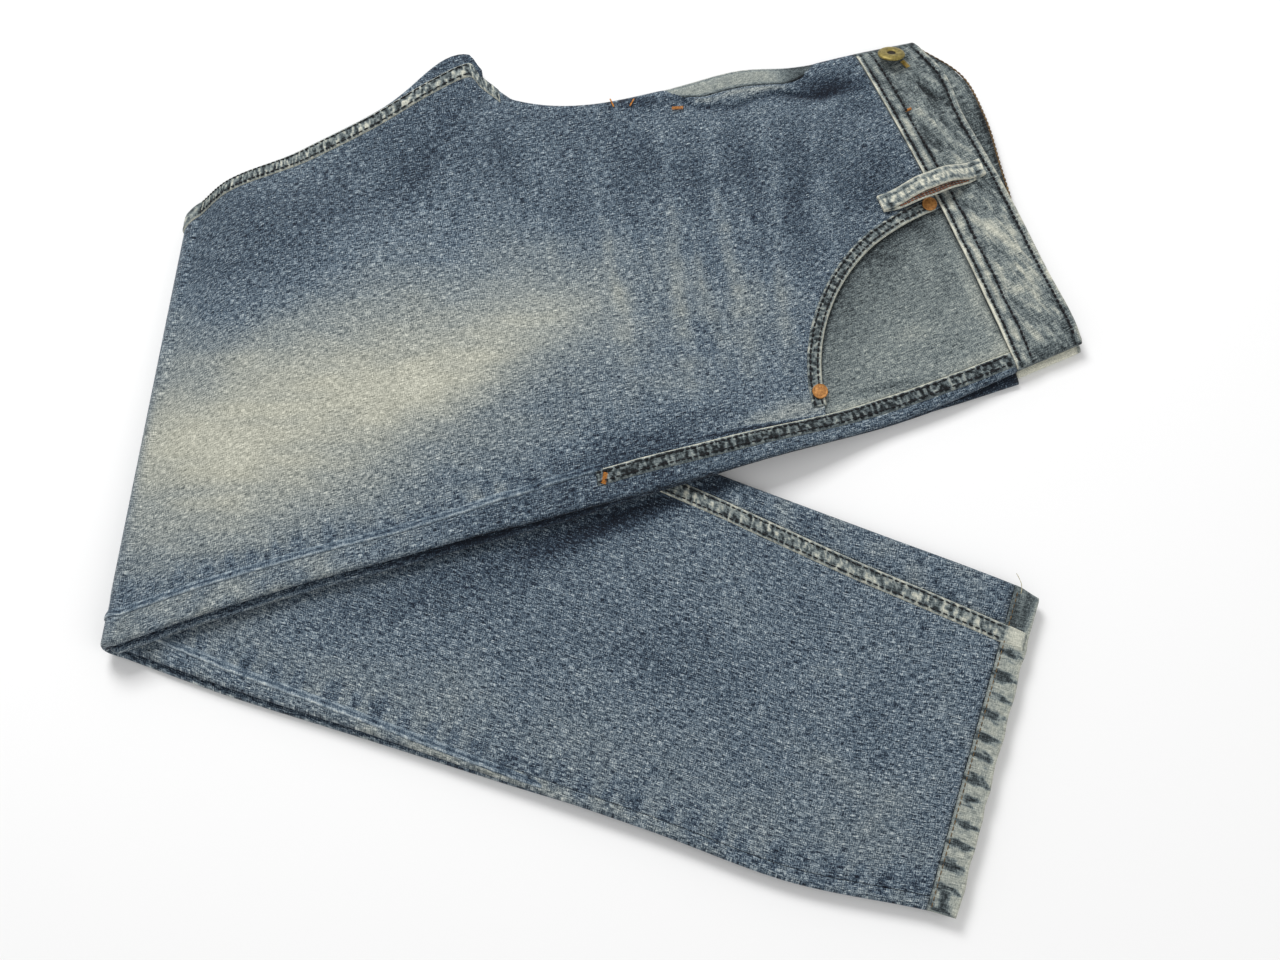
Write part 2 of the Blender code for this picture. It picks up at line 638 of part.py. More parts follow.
def facing_section(at):
    """The pocket's facing, sunk below the front and rising to the side seam where it shows."""
    mouth = pocket_mouth(at.row.along)
    points = []
    for k in range(FACING_STEPS + 1):
        inwards = (mouth + FACING_UNDER) * k / FACING_STEPS
        rise = smooth_step(mouth / FACING_RISE_MOUTH) * smooth_step(1 - inwards / FACING_RISE) * POCKET_SUNK
        points.append((at.columns[0] + inwards, STACK - POCKET_SUNK + rise))
    return points


def make_pocket(facing_colour, edge_colour, front):
    """The facing seen through the pocket mouth, and the mouth's turned edge, which lies on the front."""
    rows = [thigh_station(along) for along in [*POCKET_ROWS, POCKET_DOWN + FACING_UNDER]]
    cloth("left_pocket_facing", rings_of(rows, facing_section), facing_colour)
    height = height_on([front])
    rings = []
    for k in range(MOUTH_STEPS + 1):
        angle = MOUTH_FROM + (MOUTH_TO - MOUTH_FROM) * k / MOUTH_STEPS
        ring = []
        for out in (GAP, POCKET_EDGE / 3, POCKET_EDGE * 2 / 3, POCKET_EDGE):
            at = thigh_station((POCKET_DOWN + out) * math.sin(angle))
            place = leg_point(at, at.columns[0] + (POCKET_ACROSS + out) * math.cos(angle), STACK)
            ring.append(Vector((place.x, place.y, height(place) + GAP)))
        rings.append(ring)
    return cloth("left_pocket_edge", rings, edge_colour, SEAM_RISE, ON)


def make_fly(colour):
    """The right front's placket, which comes round the centre front and shows past the left front."""

    def section(at):
        start = math.pi / 2 * (1 - placket_share(at)) + FLY_CLEAR / FRONT_CURL
        steps = range(CURL_STEPS + 1)
        return [curl_point(at.columns[-1], start + (math.pi / 2 - start) * k / CURL_STEPS) for k in steps]

    rows = [thigh_station(along) for along in THIGH_ALONG]
    shown = [at for at in rows if placket_share(at) > FLY_LEAST]
    cloth("fly_placket", rings_of(shown, section), colour)


LOOP_STEPS = 16
LOOP_FOOT = 0.10  # share of the strap that is stitched down at each end
LOOP_SLOPE = 0.30  # share over which it then rises


def make_belt_loop(colour, below):
    """A belt loop: two plies of one strap, stitched down at both ends, arched between them for a belt."""
    height = height_on(below)
    feet = LOOP_TOP_FOOT - ORIGIN, LOOP_LOW_FOOT - ORIGIN
    run = feet[1] - feet[0]
    aside = Vector((run.y, -run.x)).normalized() * LOOP_WIDTH / 2
    bases = [max(height(foot + aside * side) for side in (-1, 0, 1)) + 2 * GAP for foot in feet]
    for name, plies_below in (("belt_loop_under", 0), ("belt_loop", 1)):
        clear = LOOP_CLEAR + LOOP_PLY_RISE * plies_below
        shift = LOOP_PLY_SHIFT * (plies_below - 1)
        rings = []
        for k in range(LOOP_STEPS + 1):
            share = k / LOOP_STEPS
            arch = smooth_step((min(share, 1 - share) - LOOP_FOOT) / LOOP_SLOPE)
            base = bases[0] + (bases[1] - bases[0]) * share + plies_below * (LOOP_PLY + GAP)
            place = feet[0] + run * share + Vector((0, shift * math.sin(math.pi * share)))
            points = [place + aside * side for side in (-1, 0, 1)]
            rings.append([Vector((*point, base + clear * arch)) for point in points])
        cloth(name, rings, colour, LOOP_PLY, ON)


def make_rivets(colour, below):
    """Two rivets, one at each end of the pocket mouth's edge."""
    dome = [
        *((0, 0.0013), (0.0022, 0.0012), (0.0036, 0.0008)),
        *((RIVET_RADIUS, 0.0003), (RIVET_RADIUS, 0), (0, 0)),
    ]
    height = height_on(below)
    for name, angle in RIVET_ANGLES.items():
        at = thigh_station((POCKET_DOWN + POCKET_EDGE / 2) * math.sin(angle))
        place = leg_point(at, at.columns[0] + (POCKET_ACROSS + POCKET_EDGE / 2) * math.cos(angle), STACK)
        rim = [place + Vector((math.cos(a), math.sin(a), 0)) * RIVET_RADIUS for a in range(6)]
        place.z = max(map(height, [place, *rim])) + GAP
        turned(name, dome, colour, place, 0, 0.4, steps=20)


def make_button(colour):
    """The shank button, tilted over the centre front."""
    profile = [
        *((0, 0.0010), (0.0020, 0.0010), (0.0024, 0.0022), (0.0045, 0.0026), (0.0072, 0.0022)),
        *((BUTTON_RADIUS, 0.0011), (0.0080, 0.0002), (0.0028, -0.0003)),
        *((0.0024, -0.0016), (0.0013, -0.0026), (0, -0.0030)),
    ]
    at = thigh_station(BUTTON_ROW)
    foot = leg_point(at, width_of(at) - BUTTON_INSET, BAND_LAYERS[-1] + BAND_WALL / 2 + GAP)
    turned("button", profile, colour, foot + BUTTON_LIFT, BUTTON_TILT, 0.35, steps=24)


def main():
    for item in list(bpy.data.objects):
        bpy.data.objects.remove(item)
    bpy.context.scene.collection.children.link(PARTS)
    denim, faded = (0.085, 0.130, 0.200), (0.330, 0.350, 0.330)
    front = make_panels(denim)
    make_hidden_layers(denim)
    waistband = make_waistband((0.120, 0.160, 0.210))
    make_hems(faded)
    make_seams(faded)
    edge = make_pocket((0.150, 0.190, 0.200), faded, front)
    make_fly(faded)
    make_belt_loop(faded, [front, waistband])
    make_rivets((0.48, 0.22, 0.09), [front, edge])
    make_button((0.45, 0.32, 0.08))


PARTS = bpy.data.collections.new("carrot_fit_jeans")
main()
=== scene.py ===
"""Looks for carrot fit jeans, folded in half and once more at the knees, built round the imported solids.

Every cloth piece is a thin shell that lies where its solid does. A point of the cloth is given by its row
along the leg, its distance across the row and its depth in the stack of layers, as in the solids.
Lengths are in metres. Tables made with in_metres have them in millimetres, but for heights.
"""

import math
from bisect import bisect_right
from collections import namedtuple

import bpy
from mathutils import Matrix, Vector, noise


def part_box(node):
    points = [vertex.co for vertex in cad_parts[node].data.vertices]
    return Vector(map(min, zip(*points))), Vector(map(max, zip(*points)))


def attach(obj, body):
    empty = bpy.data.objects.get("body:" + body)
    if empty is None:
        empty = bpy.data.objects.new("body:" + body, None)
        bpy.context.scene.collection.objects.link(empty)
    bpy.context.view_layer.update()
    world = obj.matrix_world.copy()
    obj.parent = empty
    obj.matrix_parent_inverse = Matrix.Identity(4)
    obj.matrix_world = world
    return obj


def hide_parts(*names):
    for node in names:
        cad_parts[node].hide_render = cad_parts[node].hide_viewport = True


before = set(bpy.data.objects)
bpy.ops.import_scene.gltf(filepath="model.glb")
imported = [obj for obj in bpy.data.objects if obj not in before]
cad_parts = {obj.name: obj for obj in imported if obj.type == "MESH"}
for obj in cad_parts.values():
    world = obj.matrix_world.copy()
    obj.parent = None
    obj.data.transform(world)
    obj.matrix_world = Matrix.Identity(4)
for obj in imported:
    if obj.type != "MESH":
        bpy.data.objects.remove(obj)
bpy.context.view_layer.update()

# The solids' own sizes.
GAP = 0.0003
STACK = 0.0100
LEG_DEPTH = (STACK - GAP) / 2
FOLD_RADIUS = 0.0010
FOLD_HEIGHT = STACK + FOLD_RADIUS
EDGE_ROUND = 0.0030
LOWER_FLANGE = 0.0080
FRONT_CURL = 0.0070
CURL_FALL = STACK / 2 - 0.0004
FLAT_RUN = 0.0032
SEAM_RISE = 0.0008
POCKET_SUNK = 0.0016
SETTLE_LENGTH = 0.062
BAND_HEIGHT = 0.0390
BAND_WALL = 0.0020
BAND_LAYERS = (0.0011, 0.0040, 0.0069, 0.0098)
BACK_RISE, BACK_RISE_FROM, BACK_RISE_OVER = 0.0140, 0.42, 0.56
POCKET_ACROSS, POCKET_DOWN, POCKET_EDGE = 0.1010, 0.1150, 0.0085
FACING_UNDER, FACING_RISE, FACING_RISE_MOUTH = 0.0120, 0.0200, 0.0600
HEM_DEPTH, HEM_RISE, HEM_DRAWN_IN = 0.0125, 0.0005, 0.0020
LOOP_WIDTH = 0.0105
LOOP_TOP_FOOT, LOOP_LOW_FOOT = Vector((0.2095, 0.1970)), Vector((0.1460, 0.1715))
KNEE_SIDE, KNEE_INNER = Vector((-0.2880, -0.1010)), Vector((-0.2620, 0.1700))
FOLD_LINE = (KNEE_INNER - KNEE_SIDE).normalized()
FROM_FOLD = Vector((FOLD_LINE.y, -FOLD_LINE.x))
ORIGIN = Vector((-0.01945, 0.02109))
CROTCH = 0.3130
TACK_ROW = 0.2560
KNEE_DRAWN_IN = 0.0085

# Sizes of what only shows here.
CLOTH = 0.0010  # a shell's thickness
STRIP_TOP = SEAM_RISE + 0.0004
MOUTH_POWER = 2.25  # the pocket mouth is a quarter of a superellipse
FLY_TOP, FLY_END, FLY_WIDTH = 0.0300, 0.1780, 0.0068
RIDGE_FADES_FROM, RIDGE_FADES_OVER = 0.24, 0.06  # below the knee
KNEE_TURN = 0.03  # the cloth's length round the knee fold
WEAVE_BY_DEPTH = 0.7  # how far the weave runs on across the leg, for each metre of depth


def in_metres(kind, lengths, *rows):
    """The rows of a table. Their first columns, as many as lengths says, go from millimetres to metres."""
    return [kind(*(value / 1000 for value in row[:lengths]), *row[lengths:]) for row in rows]


# Rows across the legs. side_ and inner_ are a row's two ends in the plan, bow its bend, side_seam and
# inner_seam how far in the seams run, under_ how far the lower leg's edges stand out, and curl is 1 where
# the front rolls down over the centre front.
Row = namedtuple(
    "Row",
    "along side_x side_y inner_x inner_y bow side_seam inner_seam under_side under_inner curl",
)
THIGH_ROWS = in_metres(
    Row,
    10,
    (-39, 258, 80, 170, 287, 8, 12, 0, 7, -1, 1),
    (0, 222, 64, 134, 279, 4, 12, 0, 6, -1, 1),
    (51, 174, 42, 98, 270, 2, 15, 0, 0, -1, 1),
    (113, 115, 21, 60, 267, 0, 16, 0, -1, -1, 1),
    (172, 59, 3, 16, 254, 0, 18, 0, -1, -1, 1),
    (231, 2, -14, -36, 243, 0, 20, 0, 0, -1, 1),
    (276, -42, -26, -78, 247, 0, 19, 1, 3, -1, 1),
    (295, -60, -31, -94, 260, 0, 18, 2, 3, -1, 1),
    (304, -68, -33, -101, 267, 0, 17.5, 3, 3.5, -1, 1),
    (313, -77, -35, -108, 273, 0, 17, 6, 4, -1, 0),
    (335, -99, -41, -131, 260, 0, 15, 5, 4, -1, 0),
    (370, -133, -51, -165, 236.5, 0, 14, 5, 4, -1, 0),
    (425, -186, -66, -208, 211, 0, 15, 5, 4, -1, 0),
    (487, -245, -85, -246, 188, 0, 16, 5, 4, -1, 0),
    (533, -288, -101, -262, 170, 0, 17, 5, 4, -1, 0),
)
SHIN_ROWS = in_metres(
    Row,
    10,
    (0, -288, -101, -262, 170, 0, 12, 5, 4, -1, 0),
    (60, -229, -122, -202, 126, 0, 9.5, 6, 4, -1, 0),
    (142, -151, -147, -112, 69, 0, 8, 8, 3, -2, 0),
    (226, -71, -174, -26, 30, 0, 7.5, 11, 1, -2, 0),
    (310, 9, -201, 53, -2, 0, 7.5, 15, -2, -3, 0),
    (382, 79, -226, 127, -31, 0, 7.5, 21, -3, -3, 0),
    (456, 151, -240.5, 211, -64, 0, 7.5, 25, -3, -3, 0),
    (469, 167, -245, 224, -72, 0, 7.5, 23, -3, -3, 0),
)
KNEE_ROW = THIGH_ROWS[-1].along
HEM_SEAM = SHIN_ROWS[-1].along - HEM_DEPTH
SHIN_EDGE_TO = Vector((SHIN_ROWS[-1].inner_x, SHIN_ROWS[-1].inner_y))

# A soft oval in the plan, with its heading in degrees. In folds the strength is a height in metres, and in
# shades how much lighter or darker the cloth is.
Oval = namedtuple("Oval", "x y half_length half_width heading strength")
THIGH_FOLDS = in_metres(
    Oval,
    4,
    (60, 236, 90, 24, 8, -0.0012),
    (-85, 205, 75, 26, 78, 0.0014),
    (-60, 75, 150, 60, 20, 0.0016),
    (-190, 60, 70, 50, 28, 0.0012),
)
SHIN_FOLDS = in_metres(
    Oval,
    4,
    (60, -130, 110, 55, -22, 0.0012),
)

# A soft ridge or trough along a line in the plan, from one end to the other, with its height in metres. In
# the whiskers the height is a shade.
Crease = namedtuple("Crease", "x0 y0 x1 y1 half_width height")
THIGH_CREASES = in_metres(
    Crease,
    5,
    (-66, -3, -50, -28, 2.6, -0.0016),
    (-58, -3, -41, -26, 3, 0.0008),
    (-104, 250, -150, 165, 5, -0.0007),
    (-98, 246, -118, 140, 6, -0.0006),
    (-92, 240, -70, 150, 5.5, -0.0005),
    (-110, 235, -185, 175, 6.5, 0.0005),
    (-80, 225, -35, 180, 5, 0.0005),
    (22, 243, 54, 241.5, 2, -0.0014),
    (48, 241, 96, 248.5, 2.2, -0.0016),
    (88, 247.5, 128, 251.5, 2.6, -0.0018),
    (30, 246.5, 64, 247, 2.4, 0.0009),
    (58, 247, 104, 253, 2.4, 0.0009),
    (50, 232, 100, 239, 4, 0.0005),
    (98, 256, 130, 254, 5, -0.0012),
    (124, 238, 140, 210, 3, -0.0006),
    (120, 215, 85, 170, 7, -0.0005),
    (138, 200, 100, 145, 5.5, 0.0005),
    (-268, 120, -205, 135, 6, -0.0005),
    (-276, 60, -225, 70, 7, 0.0005),
    (-280, -20, -210, -8, 5, -0.0005),
    (-270, -55, -180, -35, 4.5, 0.0004),
    (-165, -30, -80, -12, 5, 0.0005),
    (-20, 60, 50, 85, 8, -0.0004),
)
BAND_CREASES = in_metres(
    Crease,
    5,
    (150, 262, 166, 240, 2.8, -0.0009),
    (172, 262, 193, 236, 3.2, -0.0012),
    (165, 244, 200, 216, 3, 0.0008),
    (162, 232, 203, 203, 3, -0.0011),
    (176, 212, 196, 203, 2.6, 0.0007),
    (180, 182, 214, 163, 3, -0.001),
    (188, 170, 222, 146, 3.2, 0.0008),
    (195, 152, 226, 128, 3.4, -0.0009),
    (202, 130, 236, 108, 3.6, 0.0007),
    (208, 112, 240, 96, 3, -0.0009),
    (214, 92, 246, 84, 3.2, 0.0008),
    (222, 74, 252, 74, 2.8, -0.001),
)
SHIN_CREASES = in_metres(
    Crease,
    5,
    (-250, -110, -120, -150, 7, 0.0005),
    (-50, -90, 40, -120, 8, -0.0005),
    (90, -160, 150, -185, 7, 0.0005),
    (60, -210, 120, -228, 6, -0.0004),
    (165, -110, 190, -180, 6, 0.0004),
)


def smooth_step(share):
    share = min(1.0, max(0.0, share))
    return share * share * (3 - 2 * share)


def near(offset, reach, power=2):
    """1 at an offset of 0, and softly down to 0 past the reach."""
    return math.exp(-((offset / reach) ** power))


def uneven(x, y, z):
    """Smooth noise, about from -1 to 1."""
    return noise.noise(Vector((x, y, z)))


def ripple(x, y, scale):
    """Uneven small height, from -1 to 1, that the cloth has everywhere."""
    return uneven(x / scale, y / scale, 0.0)


def spaced(start, end, step):
    count = max(1, round((end - start) / step))
    return [start + (end - start) * k / count for k in range(count + 1)]


def ovals_at(ovals, x, y):
    total = 0.0
    for oval in ovals:
        heading = math.radians(oval.heading)
        dx, dy = x - oval.x, y - oval.y
        along = dx * math.cos(heading) + dy * math.sin(heading)
        aside = dy * math.cos(heading) - dx * math.sin(heading)
        reach = (along / oval.half_length) ** 2 + (aside / oval.half_width) ** 2
        if reach < 4:
            total += oval.strength * math.exp(-2 * reach)
    return total


def creases_at(creases, x, y):
    """Creases meander a little, and run out past their ends."""
    total = 0.0
    for crease in creases:
        run_x, run_y = crease.x1 - crease.x0, crease.y1 - crease.y0
        length = math.hypot(run_x, run_y)
        share = ((x - crease.x0) * run_x + (y - crease.y0) * run_y) / length**2
        if not -0.2 < share < 1.2:
            continue
        aside = ((x - crease.x0) * run_y - (y - crease.y0) * run_x) / length
        aside += 0.0025 * math.sin(5 * share + crease.x0 * 90)
        if abs(aside) > 3 * crease.half_width:
            continue
        taper = smooth_step((share + 0.2) / 0.4) * smooth_step((1.2 - share) / 0.6)
        total += crease.height * taper * near(aside, crease.half_width)
    return total


# Rows and points of the cloth


def row_at(rows, along):
    """The row at this distance: its two ends on smooth curves through the table, the rest on lines."""
    marks = [row.along for row in rows]
    i = min(max(bisect_right(marks, along) - 1, 0), len(rows) - 2)
    before, start = rows[max(i - 1, 0)], rows[i]
    end, after = rows[i + 1], rows[min(i + 2, len(rows) - 1)]
    span = end.along - start.along
    t = (along - start.along) / span
    values = []
    for field in range(1, len(start)):
        if field >= 5:
            values.append(start[field] + (end[field] - start[field]) * t)
            continue
        rise_in = (end[field] - before[field]) / (end.along - before.along)
        rise_out = (after[field] - start[field]) / (after.along - start.along)
        values.append(
            (2 * t**3 - 3 * t**2 + 1) * start[field]
            + (t**3 - 2 * t**2 + t) * span * rise_in
            + (3 * t**2 - 2 * t**3) * end[field]
            + (t**3 - t**2) * span * rise_out
        )
    return Row(along, *values)


# A row laid in the plan, with its turn round the knee fold: 0 on the thighs, pi on the shins. low and
# high are where its panels' seams lie across it.
Station = namedtuple("Station", "side inner turn row width low high")


def station(row, turn):
    side, inner = Vector((row.side_x, row.side_y)), Vector((row.inner_x, row.inner_y))
    width = (inner - side).length
    high = width - row.inner_seam - FRONT_CURL * row.curl
    return Station(side, inner, turn, row, width, row.side_seam, high)


def thigh_station(along):
    return station(row_at(THIGH_ROWS, along), 0)


def shin_station(along):
    return station(row_at(SHIN_ROWS, along), math.pi)


def fold_station(share):
    start, end = THIGH_ROWS[-1], SHIN_ROWS[0]
    row = Row(*(a + (b - a) * share for a, b in zip(start, end)))
    drawn_in = FOLD_LINE * KNEE_DRAWN_IN * math.sin(math.pi * share)
    row = row._replace(inner_x=row.inner_x - drawn_in.x, inner_y=row.inner_y - drawn_in.y)
    return station(row, math.pi * share)


def thigh_stations(first, last, step):
    return [thigh_station(along) for along in spaced(first, last, step)]


def shin_stations(first, last, step):
    return [shin_station(along) for along in spaced(first, last, step)]


def fold_stations(count, last):
    return [fold_station(k / count) for k in range(1, last)]


def leg_stations(thigh_step, shin_step):
    """All stations from the waistband to the hem."""
    thigh = thigh_stations(0.0, KNEE_ROW, thigh_step)
    return thigh + fold_stations(12, 12) + shin_stations(0.0, HEM_SEAM - GAP, shin_step)


def plan_place(at, across):
    line = at.inner - at.side
    share = across / at.width
    towards_waist = Vector((line.y, -line.x)).normalized()
    return at.side + line * share + towards_waist * at.row.bow * 4 * share * (1 - share)


def settle(place):
    """How far the thighs sink beside the shins."""
    edge = (SHIN_EDGE_TO - KNEE_INNER).normalized()
    beside = edge.cross(place - KNEE_INNER)
    return -(STACK + 2 * FOLD_RADIUS) * smooth_step(beside / SETTLE_LENGTH)


def cloth_along(at):
    """How far down the leg a station lies, in the cloth."""
    if at.turn == 0:
        return at.row.along
    if at.turn == math.pi:
        return KNEE_ROW + KNEE_TURN + at.row.along
    return KNEE_ROW + KNEE_TURN * at.turn / math.pi


def pucker(along, seed, spacing):
    """An uneven wave along a seam, from -1 to 1."""
    phase = 2.5 * uneven(along / 0.021, seed, 0.3)
    size = 0.65 + 0.6 * uneven(along / 0.013, seed, 7.1)
    return size * math.sin(2 * math.pi * along / spacing + phase)


def seam_line(at):
    """Where the side seam's ridge runs across the leg: on the shins it nears the edge."""
    if at.turn < math.pi:
        return at.low
    return at.low - (at.low - 0.0030) * smooth_step((at.row.along - 0.030) / 0.230)


def seam_pucker(at, across):
    """How far the side seam draws the cloth in beside it: 0, or up to 1 in a pucker."""
    beside = across - seam_line(at)
    if not 0 < beside < 0.030:
        return 0.0
    along = cloth_along(at)
    start = smooth_step((along - TACK_ROW + 0.01) / 0.04)
    wave = max(0.0, pucker(along - 0.2 * beside, 2, 0.0150)) ** 0.7
    gathered = 0.3 if at.turn == 0 else 0.65
    wave *= gathered + max(0.0, uneven(along / 0.025, 3.0, 8.0) + 0.15)
    reach = 0.0062 + 0.0020 * pucker(along, 6, 0.031)
    return start * wave * near(beside - 0.0075, reach)


def leg_point(at, across, depth):
    """A point of the cloth, with its folds and creases."""
    place = plan_place(at, across)
    x, y = place
    lift = 0.0
    if at.turn == 0:
        lift = settle(place)
        share = depth / STACK
        if at.row.along > 0:
            lift += share * ovals_at(THIGH_FOLDS, x, y)
            fine = creases_at(THIGH_CREASES, x, y) + 0.00022 * ripple(x, y, 0.030)
        else:
            fine = creases_at(BAND_CREASES, x, y) if depth > BAND_LAYERS[-1] - BAND_WALL else 0.0
        if depth > STACK / 2:
            lift += share**3 * fine
    elif at.turn == math.pi:
        share = (STACK - depth) / STACK
        lift = share * ovals_at(SHIN_FOLDS, x, y)
        if depth < STACK / 2:
            lift += share**3 * (creases_at(SHIN_CREASES, x, y) + 0.00022 * ripple(x, y, 0.034))
    sunk = 0.0006 * seam_pucker(at, across)
    if at.turn < math.pi and depth > STACK / 2:
        depth -= (depth / STACK) ** 3 * sunk
    elif at.turn == math.pi and depth < STACK / 2:
        depth += ((STACK - depth) / STACK) ** 3 * sunk
    radius = FOLD_RADIUS + depth
    place = place - FROM_FOLD * radius * math.sin(at.turn) - ORIGIN
    return Vector((place.x, place.y, FOLD_HEIGHT + radius * math.cos(at.turn) + lift))


# How faded the cloth is, from 0, unwashed indigo, to 1, bleached cream. The same value also carries painted
# shade and painted highlights.

# Faded and darker patches of the thighs. Some rows are painted light instead: the dark ones along the
# thigh's lower edge, beside the outseam strip and along the fly are painted shade, and the small light one
# at the top front corner is a painted highlight on the front's fold.
BLEACH_AND_SHADE = in_metres(
    Oval,
    4,
    (-262, 18, 130, 64, 22, 0.3),
    (-150, 60, 120, 64, 24, 0.25),
    (-65, 98, 100, 60, 24, 0.11),
    (40, 92, 120, 100, 20, 0.08),
    (-195, -20, 160, 42, 18, 0.13),
    (-70, 20, 100, 30, 20, 0.03),
    (-195, 172, 90, 34, 38, -0.09),
    (-142, 205, 50, 28, 70, -0.1),
    (-272, 85, 26, 40, 0, 0.07),
    (-110, 150, 90, 50, 20, 0.04),
    (-100, 225, 60, 10, 70, 0.07),
    (82, 34, 70, 12, 20, 0.18),
    (100, 200, 60, 50, 10, -0.03),
    (116, 258, 46, 16, 10, -0.12),
    (120, 253, 28, 8, 12, -0.27),
    (112, 240, 22, 8, 12, 0.06),
    (100, 150, 45, 30, 70, -0.07),
    (138, 266, 12, 5, 35, 0.1),
    (-2, 243, 32, 7, 0, -0.24),
    (25, 190, 80, 42, 8, -0.09),
    (138, 186, 30, 30, 70, -0.15),
    (-235, -12, 110, 40, 22, 0.09),
    (-112, 50, 85, 30, 22, 0.13),
    (66, 25.2, 52, 2, 12.6, -0.55),
    (36, 248, 26, 6, 0, -0.13),
    (137, 240, 15, 10, 0, -0.12),
    (-86, -16.5, 26, 7, 22, 0.12),
    (-28, -26, 60, 5, 22, -0.16),
    (82, 16.5, 45, 4, 14, 0.13),
    (112, 52, 6, 6, 0, -0.36),
    (-19.5, -4.5, 3.2, 5.2, 0, -0.4),
    (-30, -10, 14, 6, 22, 0.12),
    (-45, 98, 55, 30, 24, 0.07),
    (-210, 85, 70, 24, 22, 0.05),
    (-45, 168, 30, 25, 0, -0.07),
    (-88, 205, 34, 22, 0, -0.06),
    (-255, 155, 32, 26, 30, -0.07),
    (5, 12, 70, 20, 24, -0.19),
    (132, 58, 34, 12, 20, -0.12),
    (-70, 225, 100, 40, 0, -0.04),
    (60, 250, 50, 10, 5, 0.07),
    (128, 205, 50, 14, 60, 0.06),
)
WHISKERS = in_metres(
    Crease,
    5,
    (-62, 205, -44, 110, 5, 0.05),
    (-28, 220, -3, 26, 5.2, 0.09),
    (-10, 200, 12, 70, 6.4, -0.05),
    (-4, 190, 16, 80, 2.6, 0.07),
    (10, 230, 34, 36, 5, 0.11),
    (30, 215, 48, 100, 6, -0.06),
    (30, 190, 46, 70, 2.6, 0.07),
    (44, 232, 64, 40, 4.8, 0.12),
    (62, 222, 76, 110, 6, -0.07),
    (60, 180, 74, 96, 2.6, 0.06),
    (75, 226, 91, 66, 5, 0.11),
    (94, 226, 102, 120, 6.4, -0.08),
    (109, 228, 115, 120, 4.4, 0.09),
)
# Painted light and shade on the pocket facing: painted shade in its creases and under the upper rivet, and
# painted light along a fold.
FACING_LIGHT_AND_SHADE = in_metres(
    Oval,
    4,
    (166, 160, 16, 7, -40, -0.14),
    (145, 137, 12, 6, -10, -0.1),
    (172, 135, 22, 6, -62, 0.07),
    (184, 118, 22, 4, -64, -0.06),
    (160, 88, 30, 10, 12, 0.05),
    (150, 55, 40, 4.5, 14, -0.2),
)
# Painted light and shade on the waistband: the painted shadow beside the belt loop and painted shade in the
# band's creases, with a darker patch and two patches made lighter.
BAND_LIGHT_AND_SHADE = in_metres(
    Oval,
    4,
    (204, 187, 15, 8, -20, -0.26),
    (187, 230, 18, 3, -52, -0.24),
    (181, 247, 14, 10, -30, -0.1),
    (224, 174, 16, 3, -22, -0.16),
    (227, 150, 22, 12, -52, 0.07),
    (200, 205, 14, 7, -40, 0.07),
)
# Painted shadow on the shin, under the thigh's lower edge.
THIGH_SHADOW_ON_SHIN = in_metres(
    Oval,
    4,
    (-12, -27, 80, 9, 22, -0.34),
    (48, -6, 36, 11, 22, -0.3),
)
# Darker and lighter patches on the shins. The first two, just below the thigh's edge, are painted shade.
SHIN_PATCHES_AND_SHADE = in_metres(
    Oval,
    4,
    (-55, -40, 110, 24, 24, -0.13),
    (-150, -78, 70, 16, 22, -0.06),
    (186, -72, 50, 16, -24, 0.09),
    (150, -245, 45, 24, -20, -0.13),
    (0, -95, 130, 50, -18, -0.04),
)
BASE_TONE, SHIN_LIGHTER = 0.332, 0.04
# A crease's height paints light on its ridge and shade in its trough.
CREASE_SHADE, BAND_CREASE_SHADE = 90, 190  # for each metre of a crease's height


def seam_fade(at, across):
    """Dark in the puckers beside the side seam."""
    return -0.27 * seam_pucker(at, across)


def placket_width(at):
    """How far the fly's placket shows beyond the left front's edge."""
    along = at.row.along
    if at.turn or not FLY_TOP < along < FLY_END:
        return 0.0
    return FLY_WIDTH * smooth_step((along - FLY_TOP) / 0.045) * smooth_step((FLY_END - along) / 0.036)


def thigh_fade_and_shade(at, across):
    x, y = plan_place(at, across)
    rubbed = 0.85 * (0.85 + 0.9 * ripple(x + 9, y, 0.010))
    fade_and_shade = BASE_TONE + ovals_at(BLEACH_AND_SHADE, x, y) + rubbed * creases_at(WHISKERS, x, y)
    whiskered = near(x - 0.045, 0.080, 4) * near(y - 0.125, 0.095, 4)
    fade_and_shade += 0.055 * whiskered * ripple(2.4 * (x + 0.14 * y) + 5, 0.5 * y, 0.016)
    fade_and_shade += 0.045 * ripple(x, y, 0.045) + 0.035 * ripple(0.4 * x + 3, y, 0.008)
    width = placket_width(at)
    if width:
        fade_and_shade += 15 * width * near(at.high - width - across - 0.0024, 0.0018)
    # The creases add painted light on their ridges and painted shade in their troughs.
    return fade_and_shade + CREASE_SHADE * creases_at(THIGH_CREASES, x, y) + seam_fade(at, across)


def shin_fade_and_shade(at, across):
    x, y = plan_place(at, across)
    fade_and_shade = BASE_TONE + SHIN_LIGHTER + 0.04 * ripple(x, y, 0.050) + 0.035 * ripple(x + 3, y, 0.012)
    # Painted shadow under the thigh's edge, with the shins' darker and lighter patches.
    fade_and_shade += ovals_at(THIGH_SHADOW_ON_SHIN + SHIN_PATCHES_AND_SHADE, x, y) + 0.05 * near(across - at.low, 0.040)
    # The creases add painted light on their ridges and painted shade in their troughs.
    return fade_and_shade + CREASE_SHADE * creases_at(SHIN_CREASES, x, y) + seam_fade(at, across)


def leg_fade_and_shade(at, across):
    if at.turn == 0:
        return thigh_fade_and_shade(at, across)
    if at.turn == math.pi:
        return shin_fade_and_shade(at, across)
    top = thigh_fade_and_shade(thigh_station(KNEE_ROW), across)
    return top + (shin_fade_and_shade(shin_station(0.0), across) - top) * smooth_step(2 * at.turn / math.pi)


# Materials


